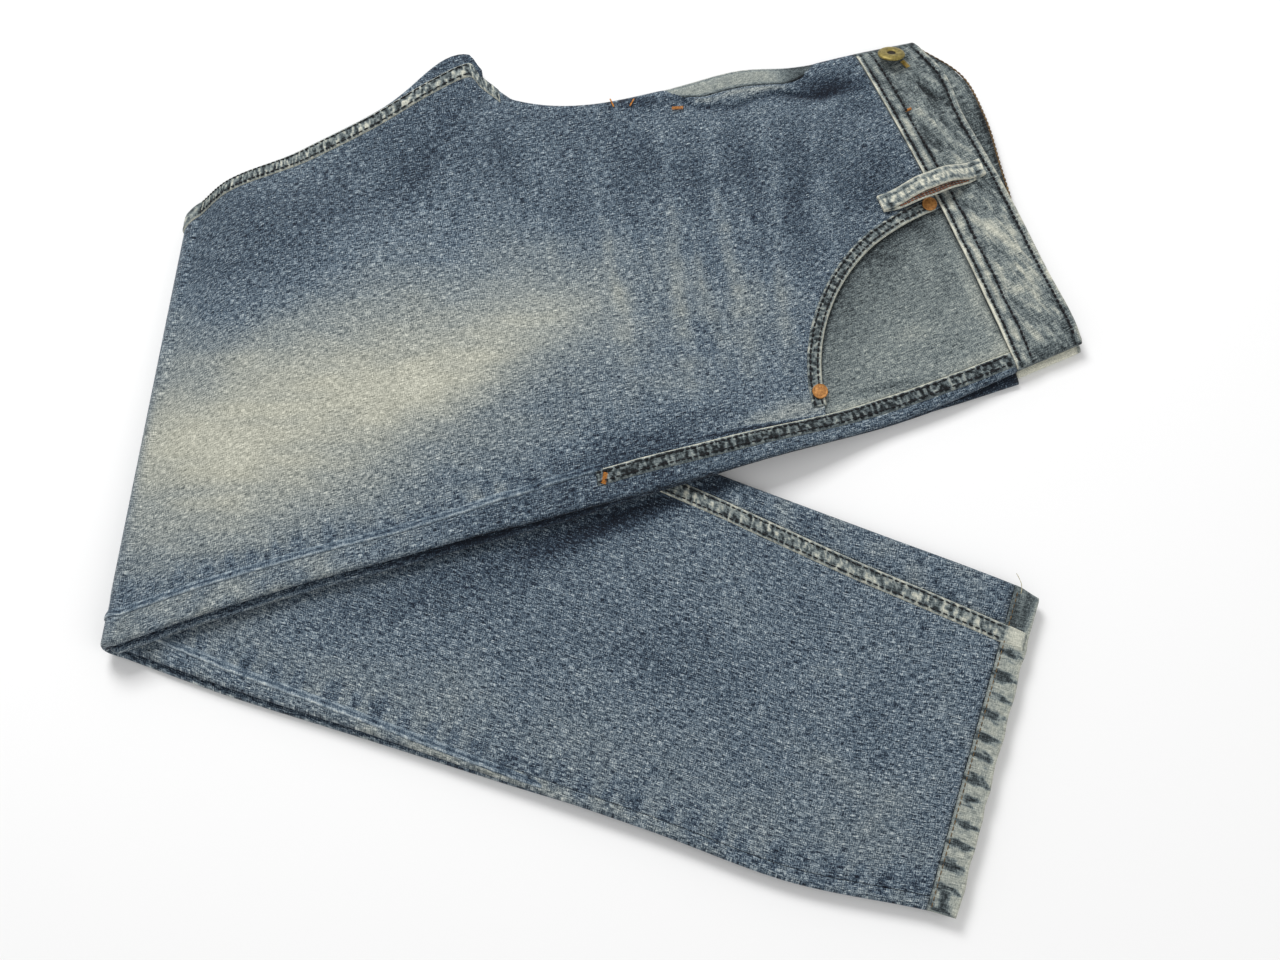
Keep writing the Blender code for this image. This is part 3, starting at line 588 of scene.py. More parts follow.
def srgb(red, green, blue):
    def linear(value):
        value /= 255
        return value / 12.92 if value <= 0.04045 else ((value + 0.055) / 1.055) ** 2.4

    return (linear(red), linear(green), linear(blue), 1.0)


def wash(*colours):
    """The colours of one cloth at seven tones, from dark to light."""
    tones = (0.00, 0.15, 0.30, 0.45, 0.60, 0.80, 1.00)
    return [(tone, srgb(*colour)) for tone, colour in zip(tones, colours)]


BLUE_WASH = wash(
    (8, 16, 28), (25, 40, 57), (55, 71, 87), (88, 105, 118),
    (122, 135, 145), (164, 176, 183), (208, 214, 210),
)
CREAM_WASH = wash(
    (20, 24, 26), (48, 52, 50), (80, 84, 78), (111, 113, 104),
    (142, 143, 131), (184, 184, 170), (226, 225, 208),
)
GREEN_WASH = wash(
    (10, 15, 18), (36, 43, 46), (69, 78, 81), (99, 109, 111),
    (128, 136, 135), (166, 173, 166), (212, 214, 204),
)


def feed(tree, socket, value):
    """Links an output to a socket, or sets the socket to a value."""
    if isinstance(value, bpy.types.NodeSocket):
        tree.links.new(value, socket)
    else:
        socket.default_value = value


def new_node(tree, kind, **inputs):
    """A shader node. Its inputs are named with _ for a space."""
    node = tree.nodes.new("ShaderNode" + kind)
    for name, value in inputs.items():
        feed(tree, node.inputs[name.replace("_", " ")], value)
    return node


def math_node(tree, operation, *values):
    node = tree.nodes.new("ShaderNodeMath")
    node.operation = operation
    for socket, value in zip(node.inputs, values):
        feed(tree, socket, value)
    return node.outputs[0]


def shader_of(name, roughness, metallic=0.0):
    material = bpy.data.materials.new(name)
    material.use_nodes = True
    tree = material.node_tree
    shader = tree.nodes["Principled BSDF"]
    shader.inputs["Roughness"].default_value = roughness
    shader.inputs["Metallic"].default_value = metallic
    shader.inputs["Specular IOR Level"].default_value = 0.25 if metallic == 0 else 0.5
    return material, tree, shader


def noise_of(tree, place, grain, detail=2.0, roughness=0.6):
    """A noise texture whose grain is (x, y) metres long and wide."""
    mapping = new_node(tree, "Mapping", Vector=place, Scale=(1 / grain[0], 1 / grain[1], 1.0))
    moved = mapping.outputs["Vector"]
    texture = new_node(tree, "TexNoise", Vector=moved, Scale=1.0, Detail=detail, Roughness=roughness)
    return texture.outputs["Fac"]


def weighted(tree, parts):
    """The sum of (part - 0.5) * weight over the parts, as a socket."""
    total = None
    for part, weight in parts:
        scaled = math_node(tree, "MULTIPLY_ADD", part, weight, -weight / 2)
        total = scaled if total is None else math_node(tree, "ADD", total, scaled)
    return total


def ramp_of(tree, tone, stops):
    ramp = new_node(tree, "ValToRGB", Fac=tone)
    elements = ramp.color_ramp.elements
    elements[0].position, elements[0].color = stops[0]
    elements[1].position, elements[1].color = stops[-1]
    for position, colour in stops[1:-1]:
        elements.new(position).color = colour
    return ramp.outputs["Color"]


def add_bump(tree, shader, height, strength, distance):
    bump = new_node(tree, "Bump", Height=height, Strength=strength, Distance=distance)
    feed(tree, shader.inputs["Normal"], bump.outputs["Normal"])


def attribute(tree, name, output):
    node = new_node(tree, "Attribute")
    node.attribute_name = name
    return node.outputs[output]


def denim(name, colours, thread, cream_from=0.37, cream_to=0.70):
    """Washed denim: threads along and across the leg, from its own colours to cream as it is more faded. The
    tone it is given also carries painted shade and painted highlights.
    """
    material, tree, shader = shader_of(name, 0.88)
    place, fade_and_shade = attribute(tree, "flat", "Vector"), attribute(tree, "fade_and_shade", "Fac")
    warp = noise_of(tree, place, (0.00045, 0.0044))
    weft = noise_of(tree, place, (0.0026, 0.00045))
    grain = noise_of(tree, place, (0.00045, 0.00045), 3.0, 0.75)
    slub = noise_of(tree, place, (0.0011, 0.0260))
    mottle = noise_of(tree, place, (0.0110, 0.0130), 3.0)
    bleach = new_node(tree, "MapRange", Value=fade_and_shade, From_Min=cream_from, From_Max=cream_to).outputs["Result"]
    contrast = math_node(tree, "MULTIPLY_ADD", bleach, -0.50 * thread, thread)
    threads = weighted(tree, [(warp, 1.80), (weft, 1.50), (grain, 1.45), (slub, 0.40)])
    tone = math_node(tree, "MULTIPLY_ADD", threads, contrast, fade_and_shade)
    tone = math_node(tree, "ADD", tone, weighted(tree, [(mottle, 0.07)]))
    mix = new_node(tree, "Mix")
    mix.data_type = "RGBA"
    first, second = (socket for socket in mix.inputs if socket.type == "RGBA")
    feed(tree, mix.inputs[0], bleach)
    feed(tree, first, ramp_of(tree, tone, colours))
    feed(tree, second, ramp_of(tree, tone, CREAM_WASH))
    colour = next(socket for socket in mix.outputs if socket.type == "RGBA")
    feed(tree, shader.inputs["Base Color"], colour)
    add_bump(tree, shader, weighted(tree, [(warp, 1.0), (weft, 0.8), (grain, 0.7)]), 0.55, 0.0005)
    shader.inputs["Sheen Weight"].default_value = 0.10
    shader.inputs["Sheen Roughness"].default_value = 0.5
    return material


def mixed(name, dark, light, grain, roughness, metallic=0.0, height=0.0002):
    """A material that varies between two colours, by a noise in the object's own space."""
    material, tree, shader = shader_of(name, roughness, metallic)
    place = new_node(tree, "TexCoord").outputs["Object"]
    tone = noise_of(tree, place, (grain, grain), 3.0, 0.65)
    feed(tree, shader.inputs["Base Color"], ramp_of(tree, tone, [(0.35, srgb(*dark)), (0.65, srgb(*light))]))
    add_bump(tree, shader, tone, 0.5, height)
    return material


DENIM = denim("blue_denim", BLUE_WASH, 1.14)
RIDGE_DENIM = denim("ridge_denim", BLUE_WASH, 0.75, 0.80, 1.20)
GREEN_DENIM = denim("grey_green_denim", GREEN_WASH, 0.75, 0.50, 0.85)
SEAM_DENIM = denim("seam_denim", GREEN_WASH, 0.55, 0.52, 0.88)
DARK_THREAD = mixed("dark_thread", (10, 12, 18), (36, 34, 36), 0.0009, 0.75)
TAN_THREAD = mixed("tan_thread", (58, 44, 30), (128, 104, 70), 0.0014, 0.7)
ORANGE_THREAD = mixed("orange_thread", (150, 88, 30), (205, 140, 62), 0.0008, 0.65)
YELLOW_THREAD = mixed("yellow_thread", (138, 112, 40), (196, 166, 82), 0.0008, 0.65)
RUST_CLOTH = mixed("rust_overlock", (46, 30, 26), (150, 92, 62), 0.0012, 0.85)
CREAM_THREAD = mixed("cream_thread", (150, 146, 122), (208, 202, 172), 0.0010, 0.8)
COPPER = mixed("worn_copper", (134, 86, 38), (186, 132, 70), 0.0016, 0.55, 0.35, 0.00008)
BRASS = mixed("worn_brass", (104, 92, 44), (150, 136, 76), 0.0020, 0.50, 0.55, 0.00008)
DARK_METAL = mixed("dark_metal", (24, 20, 16), (52, 42, 30), 0.0010, 0.6, 0.6, 0.00005)

# Meshes


def shares(count):
    return [k / count for k in range(count + 1)]


def new_mesh(name, points, faces, material):
    mesh = bpy.data.meshes.new(name)
    mesh.from_pydata([tuple(point) for point in points], [], faces)
    mesh.materials.append(material)
    return mesh


def link(piece, slot, *nodes):
    bpy.context.scene.collection.objects.link(piece)
    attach(piece, "root")
    if nodes:
        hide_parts(*nodes)
    return piece


def loft(name, strips, material, thickness=CLOTH, offset=-1.0, closed=False, flip=False):
    """Thin cloth through strips of rings. A ring is a list of (point, flat place, tone of fading and painted
    shade).
    """
    points, flats, fades_and_shades, faces = [], [], [], []
    for rings in strips:
        first, count = len(points), len(rings[0])
        for ring in rings:
            for point, flat, fade_and_shade in ring:
                points.append((point.x, point.y, max(point.z, 0.0)))
                flats.extend(flat)
                fades_and_shades.append(fade_and_shade)
        for i in range(len(rings) - 1):
            for k in range(count if closed else count - 1):
                a, b = first + i * count + k, first + i * count + (k + 1) % count
                face = (a, b, b + count, a + count)
                faces.append(face[::-1] if flip else face)
    mesh = new_mesh(name, points, faces, material)
    mesh.attributes.new("flat", "FLOAT_VECTOR", "POINT").data.foreach_set("vector", flats)
    mesh.attributes.new("fade_and_shade", "FLOAT", "POINT").data.foreach_set("value", fades_and_shades)
    mesh.shade_smooth()
    piece = bpy.data.objects.new(name, mesh)
    solidify = piece.modifiers.new("Thickness", "SOLIDIFY")
    solidify.thickness = thickness
    solidify.offset = offset
    solidify.use_rim = True
    return piece


def leg_rings(rows, section, shift=0.0):
    """Rings of a piece in the leg, from a section of (across, depth) or (across, depth, tone of fading and
    painted shade).

    Each piece has its own shift, so that its weave is not its neighbour's.
    """
    rings = []
    for at in rows:
        along = cloth_along(at)
        ring = []
        for across, depth, *own in section(at):
            tone = own[0] if own else leg_fade_and_shade(at, across)
            flat = (across + (depth - STACK) * WEAVE_BY_DEPTH + shift, along, 0.0)
            ring.append((leg_point(at, across, depth), flat, tone))
        rings.append(ring)
    return rings


def laid(section, is_upper):
    """A section as it is for the leg on top, or with the stack's other face for the leg below."""
    if is_upper:
        return section

    def other(at):
        return [(point[0], STACK - point[1], *point[2:]) for point in section(at)]

    return other


# Fronts and backs

# Shares across a front, closer together near both ends.
ACROSS = [share - 0.10 * math.sin(2 * math.pi * share) / 1.3 for share in shares(110)]
CURL_STEPS = 8
FINE_STEP, COARSE_STEP = 0.0026, 0.0200  # where a front shows, and where it is hidden
BACK_STEP = 0.0035
INNER_EDGE_FROM = 0.300  # the backs' inner edges show below this row


def pocket_mouth(along):
    return POCKET_ACROSS * max(0.0, 1 - (along / POCKET_DOWN) ** MOUTH_POWER) ** (1 / MOUTH_POWER)


def front_section(at, start, back):
    """A front panel from its side seam to its edge, which stands back from the fly's placket."""
    rolled = at.row.curl * (1 - smooth_step(back / 0.0030))
    high = at.high - FLAT_RUN * (1 - rolled) - back
    points = [(start + (high - start) * share, STACK) for share in ACROSS]
    for k in range(1, CURL_STEPS + 1):
        angle = math.pi / 2 * k / CURL_STEPS * rolled
        across = at.high + FRONT_CURL * math.sin(angle)
        across += FLAT_RUN * (k / CURL_STEPS - 1) * (1 - rolled) - back
        points.append((across, STACK - CURL_FALL * (1 - math.cos(angle))))
    return points


def left_front_section(at):
    mouth = pocket_mouth(at.row.along) if at.turn == 0 else 0.0
    return front_section(at, at.low + mouth, placket_width(at))


def right_front_section(at):
    return front_section(at, at.low, 0.0)


def make_fronts():
    rings = leg_rings(leg_stations(FINE_STEP, COARSE_STEP), left_front_section)
    left = link(loft("front_left", [rings], DENIM), "denim", "left_front")
    rings = leg_rings(leg_stations(COARSE_STEP, FINE_STEP), laid(right_front_section, False), 0.7)
    right = link(loft("front_right", [rings], DENIM, flip=True), "denim", "right_front")
    return left, right


def leg_edges(at, is_upper):
    """Where the leg's two edges lie. The inner edge stands out a little below the crotch."""
    share = at.turn / math.pi if is_upper else 1 - at.turn / math.pi
    bulge = 0.0085 * near(at.row.along - 0.3270, 0.0200) if at.turn == 0 else 0.0
    return -at.row.under_side * share, at.width + at.row.under_inner * share + bulge


def round_edge(edge, reach, middle, half):
    angles = [math.pi * k / 10 for k in range(11)]
    return [(edge + reach * (1 - math.sin(a)), middle + half * math.cos(a)) for a in angles]


def spread(start, end, count):
    """Points between two (across, depth) pairs, the ends left out."""
    return [tuple(a + (b - a) * k / count for a, b in zip(start, end)) for k in range(1, count)]


def edge_strip(at, is_upper, is_inner):
    """A back panel's edge: from its seam over the leg's edge and in below the layers."""
    side, inner = leg_edges(at, is_upper)
    if is_inner:
        start, flange, count = at.high + 0.0005, -LOWER_FLANGE, 4
        edge, reach = inner, -min(EDGE_ROUND, inner - start - GAP)
    else:
        start, flange, count = at.low - GAP, LOWER_FLANGE, 6
        edge, reach = side, EDGE_ROUND
    over = round_edge(edge, reach, STACK - LEG_DEPTH / 2, LEG_DEPTH / 2)
    first = (start, STACK)
    return [first, *spread(first, over[0], count), *over, (start + flange, STACK - LEG_DEPTH)]


def shaded_strip(is_upper, is_inner, top):
    """A back panel's edge with its tone, a little uneven and mostly painted shade: darkest where it meets
    the layers below.
    """

    def section(at):
        along = cloth_along(at)
        is_over = is_upper == (at.turn < math.pi / 2)
        reach, dark = (0.0012, 0.45) if is_over else (0.0005, 0.20)
        points = []
        for across, depth in edge_strip(at, is_upper, is_inner):
            above = depth - STACK + LEG_DEPTH
            # Painted shade where the edge meets the layers below.
            tone = top - dark * near(above, reach) + 0.12 * ripple(along, across, 0.014)
            # On the shins the lower leg's edge takes the thigh's painted shadow, the seam's puckers and a
            # lighter patch.
            if not is_upper and at.turn == math.pi:
                tone += seam_fade(at, across) + ovals_at(THIGH_SHADOW_ON_SHIN, *plan_place(at, across))
                tone += 0.14 * near(at.row.along - 0.200, 0.080)
            # Painted shade: the edge on top darker towards its underside, and on the thighs the lower leg's
            # edge darker under the upper one.
            if is_over:
                tone -= 0.06 * smooth_step((STACK - depth) / 0.0035)
            elif not at.turn:
                tone -= 0.32 * smooth_step((0.420 - along) / 0.090)
            # Painted shadow under the upper leg's roll, strongest about the middle of the thigh, with the
            # roll a little lighter lower down.
            if is_upper and not at.turn:
                tone -= 0.40 * near(above, 0.0032) * near(along - 0.250, 0.085, 4)
                tone += 0.05 * smooth_step((along - 0.370) / 0.050)
                tone -= 0.12 * smooth_step((0.140 - along) / 0.060)
                tone -= 0.14 * near(along - 0.235, 0.110, 4)
            points.append((across, depth, tone))
        return points

    return laid(section, is_upper)


def make_backs():
    made = []
    rows = leg_stations(BACK_STEP, BACK_STEP)
    lower_rows = [at for at in rows if at.turn or at.row.along >= INNER_EDGE_FROM]
    for side, is_upper, shift, top in (("left", True, 1.3, 0.42), ("right", False, 2.1, 0.40)):
        side_rings = leg_rings(rows, shaded_strip(is_upper, False, top), shift)
        inner_rings = leg_rings(lower_rows, shaded_strip(is_upper, True, 0.37), shift)
        strips = [side_rings, [ring[::-1] for ring in inner_rings]]
        piece = loft(f"back_{side}", strips, DENIM, flip=is_upper)
        made.append(link(piece, "denim", f"{side}_back", f"{side}_yoke"))
    return made


# Seam strips, felled and topstitched

STRIP_SHARES = (0, 0.04, 0.09, 0.15, 0.24, 0.34, 0.45, 0.55, 0.66, 0.76, 0.85, 0.91, 0.96, 1)
STRIP_CLOTH, RIDGE_CLOTH = 0.0006, 0.0005
STRIP_STEP, RIDGE_STEP = 0.0011, 0.0016


def blotch(along, share, seed):
    """Uneven dark and light marks across a puckered seam, from -1 to 1."""
    bars = uneven(along / 0.0021, share * 1.6, seed)
    specks = uneven(along / 0.0012, share * 5, seed + 5)
    drawn = 0.45 * pucker(along, seed, 0.0054)
    return max(-1.0, min(1.0, 2.0 * bars + 1.7 * specks + drawn))


def front_depth(at, across):
    """The depth of the front's face, which rolls down at the centre front."""
    past = min(1.0, max(0.0, (across - at.high) / FRONT_CURL))
    return STACK - at.row.curl * CURL_FALL * (1 - math.sqrt(1 - past * past))


def strip_piece(
    name, node, rows, edges, is_upper=True, base=0.42, swing=0.26, lights=(0.86, 0.86), bands=()
):
    """A narrow raised strip on the cloth, with worn edges and puckers across it.

    base is its own fade, swing how much the puckers change it, and lights the fades of its two edges.
    bands are marks right across it, each a (place along the cloth, reach, fade).
    """
    seed = sum(map(ord, name)) % 17

    def section(at):
        start, end = edges(at)
        along = cloth_along(at)
        points = []
        for share in STRIP_SHARES:
            across = start + (end - start) * share
            crown = 1 - abs(2 * share - 1) ** 6
            mark = blotch(along, share, seed)
            lift = 0.00005 + (STRIP_TOP + 0.00022 * mark) * crown
            rubs = [near(edge, 0.075) for edge in (share, 1 - share)]
            # Painted shade in the needle grooves beside the stitching.
            groove = sum(near(edge - 0.20, 0.07) for edge in (share, 1 - share))
            tone = base + (swing * mark - 0.10 * groove) * (1 - max(rubs))
            tone += sum((light - base) * rub for light, rub in zip(lights, rubs))
            for place, reach, light in bands:
                band = near(along - place, reach, 4)
                tone += (light - tone) * band
                lift += 0.0003 * band
            points.append((across, front_depth(at, across) + lift, tone))
        return points

    rings = leg_rings(rows, laid(section, is_upper), seed)
    piece = loft(name, [rings], SEAM_DENIM, STRIP_CLOTH, flip=not is_upper)
    return link(piece, "faded_denim", node)


def ridge_piece(name, rows, is_upper):
    """The felled side seam below the topstitching: a low step with a light edge."""

    def section(at):
        along = cloth_along(at)
        shown = 1 - smooth_step((along - KNEE_ROW - RIDGE_FADES_FROM) / RIDGE_FADES_OVER)
        rubbed = shown * (0.85 + 0.8 * ripple(along, 0.0, 0.006))
        points = []
        for k in range(17):
            beside = -0.0014 + 0.0078 * k / 16
            fall = smooth_step((0.0064 - beside) / 0.0058)
            rise = smooth_step((beside + 0.0014) / 0.0012)
            lift = -0.0005 + 0.0014 * fall * rise
            tone = leg_fade_and_shade(at, at.low + beside) - 0.02
            tone += 0.33 * rubbed * near(beside + 0.0001, 0.0010)
            tone += 0.20 * rubbed * near(beside - 0.0033, 0.0008)
            # Painted shadow along the foot of the seam's step.
            tone -= 0.14 * near(beside + 0.0014, 0.0006)
            tone -= 0.08 * near(beside - 0.0018, 0.0007)
            points.append((seam_line(at) + beside, STACK + lift * shown - 0.0006 * (1 - shown), tone))
        return points

    rings = leg_rings(rows, laid(section, is_upper))
    return link(loft(name, [rings], RIDGE_DENIM, RIDGE_CLOTH, flip=not is_upper), "denim")


def inseam_edges(at):
    return at.high - 0.0065 + 0.0025 * at.row.curl, at.high + 0.0035 + 0.0034 * at.row.curl


def make_seams():
    fold = fold_stations(14, 12)
    return [
        strip_piece(
            "outseam_left",
            "left_outseam",
            thigh_stations(0.0, TACK_ROW, STRIP_STEP),
            lambda at: (at.low - 0.0091, at.low + 0.0004),
            base=0.27,
            swing=0.34,
            lights=(0.52, 1.05),
            bands=((0.0312, 0.0009, 0.66), (0.0395, 0.0009, 0.66)),
        ),
        strip_piece(
            "inseam_left",
            "left_inseam",
            thigh_stations(0.2885, KNEE_ROW, STRIP_STEP) + fold,
            inseam_edges,
            base=0.46,
            swing=0.38,
        ),
        strip_piece(
            "inseam_right",
            "right_inseam",
            shin_stations(0.205, HEM_SEAM + 0.0110, STRIP_STEP),
            lambda at: (at.high - 0.0100, at.high + 0.0006),
            is_upper=False,
            base=0.48,
            swing=0.34,
            bands=((KNEE_ROW + KNEE_TURN + HEM_SEAM + 0.0066, 0.0052, 0.80),),
        ),
        ridge_piece(
            "outseam_ridge_left", thigh_stations(TACK_ROW - 0.004, KNEE_ROW, RIDGE_STEP) + fold, True
        ),
        ridge_piece("outseam_ridge_right", shin_stations(0.0, 0.275, RIDGE_STEP), False),
    ]


# Stitching

STITCH_RINGS, STITCH_SIDES = 5, 6


def add_stitch(points, faces, path, start, end, radius, base, arch):
    """One stitch: a thin round arch along a path."""
    rings, sides = STITCH_RINGS, STITCH_SIDES
    first = len(points)
    ahead = (end - start) * 0.05
    for j in range(rings):
        t = j / (rings - 1)
        share = start + (end - start) * t
        out = base + arch * math.sin(math.pi * t)
        middle = path(share, out)
        direction = (path(share + ahead, out) - path(share - ahead, out)).normalized()
        up = (path(share, out + 0.001) - path(share, out)).normalized()
        side = direction.cross(up).normalized()
        size = radius * (0.55 if j in (0, rings - 1) else 1.0)
        for k in range(sides):
            angle = 2 * math.pi * k / sides
            points.append(middle + side * (size * math.cos(angle)) + up * (size * math.sin(angle)))
    for j in range(rings - 1):
        for k in range(sides):
            a, b = first + j * sides + k, first + j * sides + (k + 1) % sides
            faces.append((a, a + sides, b + sides, b))
    faces.append(tuple(first + k for k in range(sides)))
    faces.append(tuple(first + (rings - 1) * sides + k for k in reversed(range(sides))))


def path_length(path):
    places = [path(share, 0.0) for share in shares(24)]
    return sum((b - a).length for a, b in zip(places, places[1:]))


def stitched(
    name, paths, material, slot, stitch=0.0026, space=0.0009, radius=0.00030, base=0.00012, arch=0.00022
):
    """A mesh of all the stitches along these paths, each path(share, out) a point out of the cloth.

    A stitch and the space after it are lengths. base and arch are how far its ends and its middle rise.
    """
    points, faces = [], []
    margin = space / (stitch + space) / 2
    for path in paths:
        count = max(1, round(path_length(path) / (stitch + space)))
        for k in range(count):
            start, end = (k + margin) / count, (k + 1 - margin) / count
            add_stitch(points, faces, path, start, end, radius, base, arch)
    mesh = new_mesh(name, points, faces, material)
    mesh.shade_smooth()
    return link(bpy.data.objects.new(name, mesh), slot)


def seam_path(make_station, first, last, across, is_upper=True):
    """A path down a seam strip. across(at) gives its distance across a station."""

    def path(share, out):
        at = make_station(first + (last - first) * share)
        depth = STACK + (out + STRIP_TOP)
        return leg_point(at, across(at), depth if is_upper else STACK - depth)

    return path


def make_leg_stitching():
    from_row, to_row = 0.214, HEM_SEAM - 0.001
    paths = [
        seam_path(thigh_station, 0.002, TACK_ROW, lambda at: at.low - 0.0016),
        seam_path(thigh_station, 0.002, TACK_ROW, lambda at: at.low - 0.0070),
        seam_path(thigh_station, CROTCH, KNEE_ROW, lambda at: at.high - 0.0048),
        seam_path(thigh_station, CROTCH, KNEE_ROW, lambda at: at.high + 0.0018),
        seam_path(shin_station, from_row, to_row, lambda at: at.high - 0.0082, False),
        seam_path(shin_station, from_row, to_row, lambda at: at.high - 0.0014, False),
    ]
    return stitched("leg_topstitching", paths, DARK_THREAD, "faded_denim", radius=0.00042)


# Pocket

MOUTH_FROM, MOUTH_TO = math.radians(1.15), math.radians(87.45)
MOUTH_STEPS, MOUTH_LENGTH = 150, 0.170


def facing_section(at):
    mouth = pocket_mouth(at.row.along)
    points = []
    for k in range(49):
        inwards = (mouth + FACING_UNDER) * k / 48
        rise = smooth_step(mouth / FACING_RISE_MOUTH) * smooth_step(1 - inwards / FACING_RISE)
        x, y = plan_place(at, at.low + inwards)
        by_seam = near(at.row.along - 0.004, 0.006) + near(inwards, 0.008)
        tone = 0.48 + 0.10 * by_seam + 0.06 * ripple(x, y, 0.020)
        # Painted shade inside the pocket mouth: a narrow dark band under its edge and a broader one further
        # in.
        tone -= 0.14 * smooth_step(1 - (mouth - inwards) / 0.010)
        tone -= 0.15 * smooth_step(1 - (mouth - inwards) / 0.055) * smooth_step(inwards / 0.05)
        tone += ovals_at(FACING_LIGHT_AND_SHADE, x, y)
        points.append((at.low + inwards, STACK - POCKET_SUNK * (1 - rise), tone))
    return points


def mouth_point(share, out, lift):
    """A point on or beside the pocket mouth, at a share of its length and out past it."""
    angle = MOUTH_FROM + (MOUTH_TO - MOUTH_FROM) * share
    at = thigh_station((POCKET_DOWN + out) * math.sin(angle) ** (2 / MOUTH_POWER))
    across = at.low + (POCKET_ACROSS + out) * math.cos(angle) ** (2 / MOUTH_POWER)
    return leg_point(at, across, STACK + lift)


def make_pocket():
    rows = thigh_stations(0.0, POCKET_DOWN + FACING_UNDER, 0.0026)
    facing = loft("pocket_facing_left", [leg_rings(rows, facing_section, 3.3)], GREEN_DENIM)
    link(facing, "pocket_facing", "left_pocket_facing")
    rings = []
    for down in shares(MOUTH_STEPS):
        along = MOUTH_LENGTH * down
        ring = []
        for share in shares(12):
            out = -0.0004 + (POCKET_EDGE + 0.0004) * share
            crown = 1 - abs(2 * share - 1) ** 5
            wave = blotch(along, share, 4)
            lift = 0.0001 + (SEAM_RISE + 0.0003 + 0.00018 * wave) * crown
            if share < 0.2:
                lift += 0.0004 * (1 - share / 0.2)
            piping = near(share, 0.16)
            tone = 0.36 + 0.30 * wave * (1 - piping) + 0.48 * piping + 0.18 * near(1 - share, 0.10)
            ring.append((mouth_point(down, out, lift), (out + 4.1, along, 0.0), tone))
        rings.append(ring)
    edge = loft("pocket_edge_left", [rings], SEAM_DENIM, STRIP_CLOTH)
    link(edge, "faded_denim", "left_pocket_edge")

    def mouth_path(beyond):
        return lambda share, out: mouth_point(share, beyond, STRIP_TOP + 0.0001 + out)

    paths = [mouth_path(0.0020), mouth_path(0.0066)]
    rows = stitched("pocket_topstitching", paths, DARK_THREAD, "faded_denim", radius=0.00055)
    return facing, edge, rows


# Waistband. up is the share of its height.

BAND_STEPS, BAND_CLOTH = 56, 0.0018
BAND_ROWS = ((-0.0026, 0.02, 0.93), (-0.0096, 0.02, 0.96), (-0.0356, 0.03, 0.96))


def band_section(at):
    lowest, low, high, highest = BAND_LAYERS
    small = (high - low) / 2
    front, back = at.width - FRONT_CURL, at.width - 2 * FRONT_CURL
    side = small + BAND_WALL / 2
    under = side - 0.45 * at.row.under_side

    def run(start, end, depth, steps=16):
        return [(start + (end - start) * k / steps, depth) for k in range(steps + 1)]

    def half_turn(centre, start, end, reach, steps=6):
        angles = [math.pi * k / steps for k in range(1, steps)]
        middle, radius = (start + end) / 2, (start - end) / 2
        return [(centre + reach * math.sin(a), middle + radius * math.cos(a)) for a in angles]

    return [
        *run(front, side, highest, BAND_STEPS),
        *half_turn(side, highest, high, -small),
        *run(side, back, high),
        *half_turn(back, high, low, small),
        *run(back, under, low),
        *half_turn(under, low, lowest, -small),
        *run(under, front, lowest),
        *half_turn(front, lowest, highest, FRONT_CURL - BAND_WALL / 2, 10),
    ]


def band_station(along, across):
    """The waistband stands up further at its side and beside the button."""
    share = across / thigh_station(along).width
    further = 0.10 * near(across - 0.010, 0.030)
    return thigh_station(along * (1 + further + 0.15 * near(share - 0.87, 0.10)))


def band_point(along, across, depth):
    share = (across / thigh_station(along).width - BACK_RISE_FROM) / BACK_RISE_OVER
    if BAND_LAYERS[0] + BAND_WALL < depth < BAND_LAYERS[3] - BAND_WALL and 0 < share < 1:
        along *= 1 + BACK_RISE / BAND_HEIGHT * math.sin(math.pi * share)
        along *= 1 - 0.10 * near(share - 0.25, 0.24)
    return leg_point(band_station(along, across), across, depth)


def band_crumple(x, y):
    """Small slanting wrinkles of the waistband, about from -1 to 1, sharpest along their ridges."""
    heading = math.radians(-50)
    along = x * math.cos(heading) + y * math.sin(heading)
    aside = y * math.cos(heading) - x * math.sin(heading)
    broad = uneven(along / 0.014, aside / 0.0038, 2.0)
    fine = uneven(along / 0.008, aside / 0.0021, 6.0)
    return 1.0 - 5.2 * abs(broad) + 1.1 * fine if abs(broad) < 0.30 else 1.1 * fine - 0.56


def between_rows(up):
    """1 between the waistband's rows of stitches, 0 at its edges."""
    return smooth_step((up - 0.24) / 0.10) * smooth_step((0.98 - up) / 0.10)


def band_relief(x, y, up):
    """The height of the waistband's outer layer over its plain form: wrinkles and the seam's step."""
    step = 0.0005 * smooth_step((0.30 - up) / 0.06) + 0.0004 * smooth_step((up - 0.93) / 0.04)
    return between_rows(up) * 0.0004 * band_crumple(x, y) + step


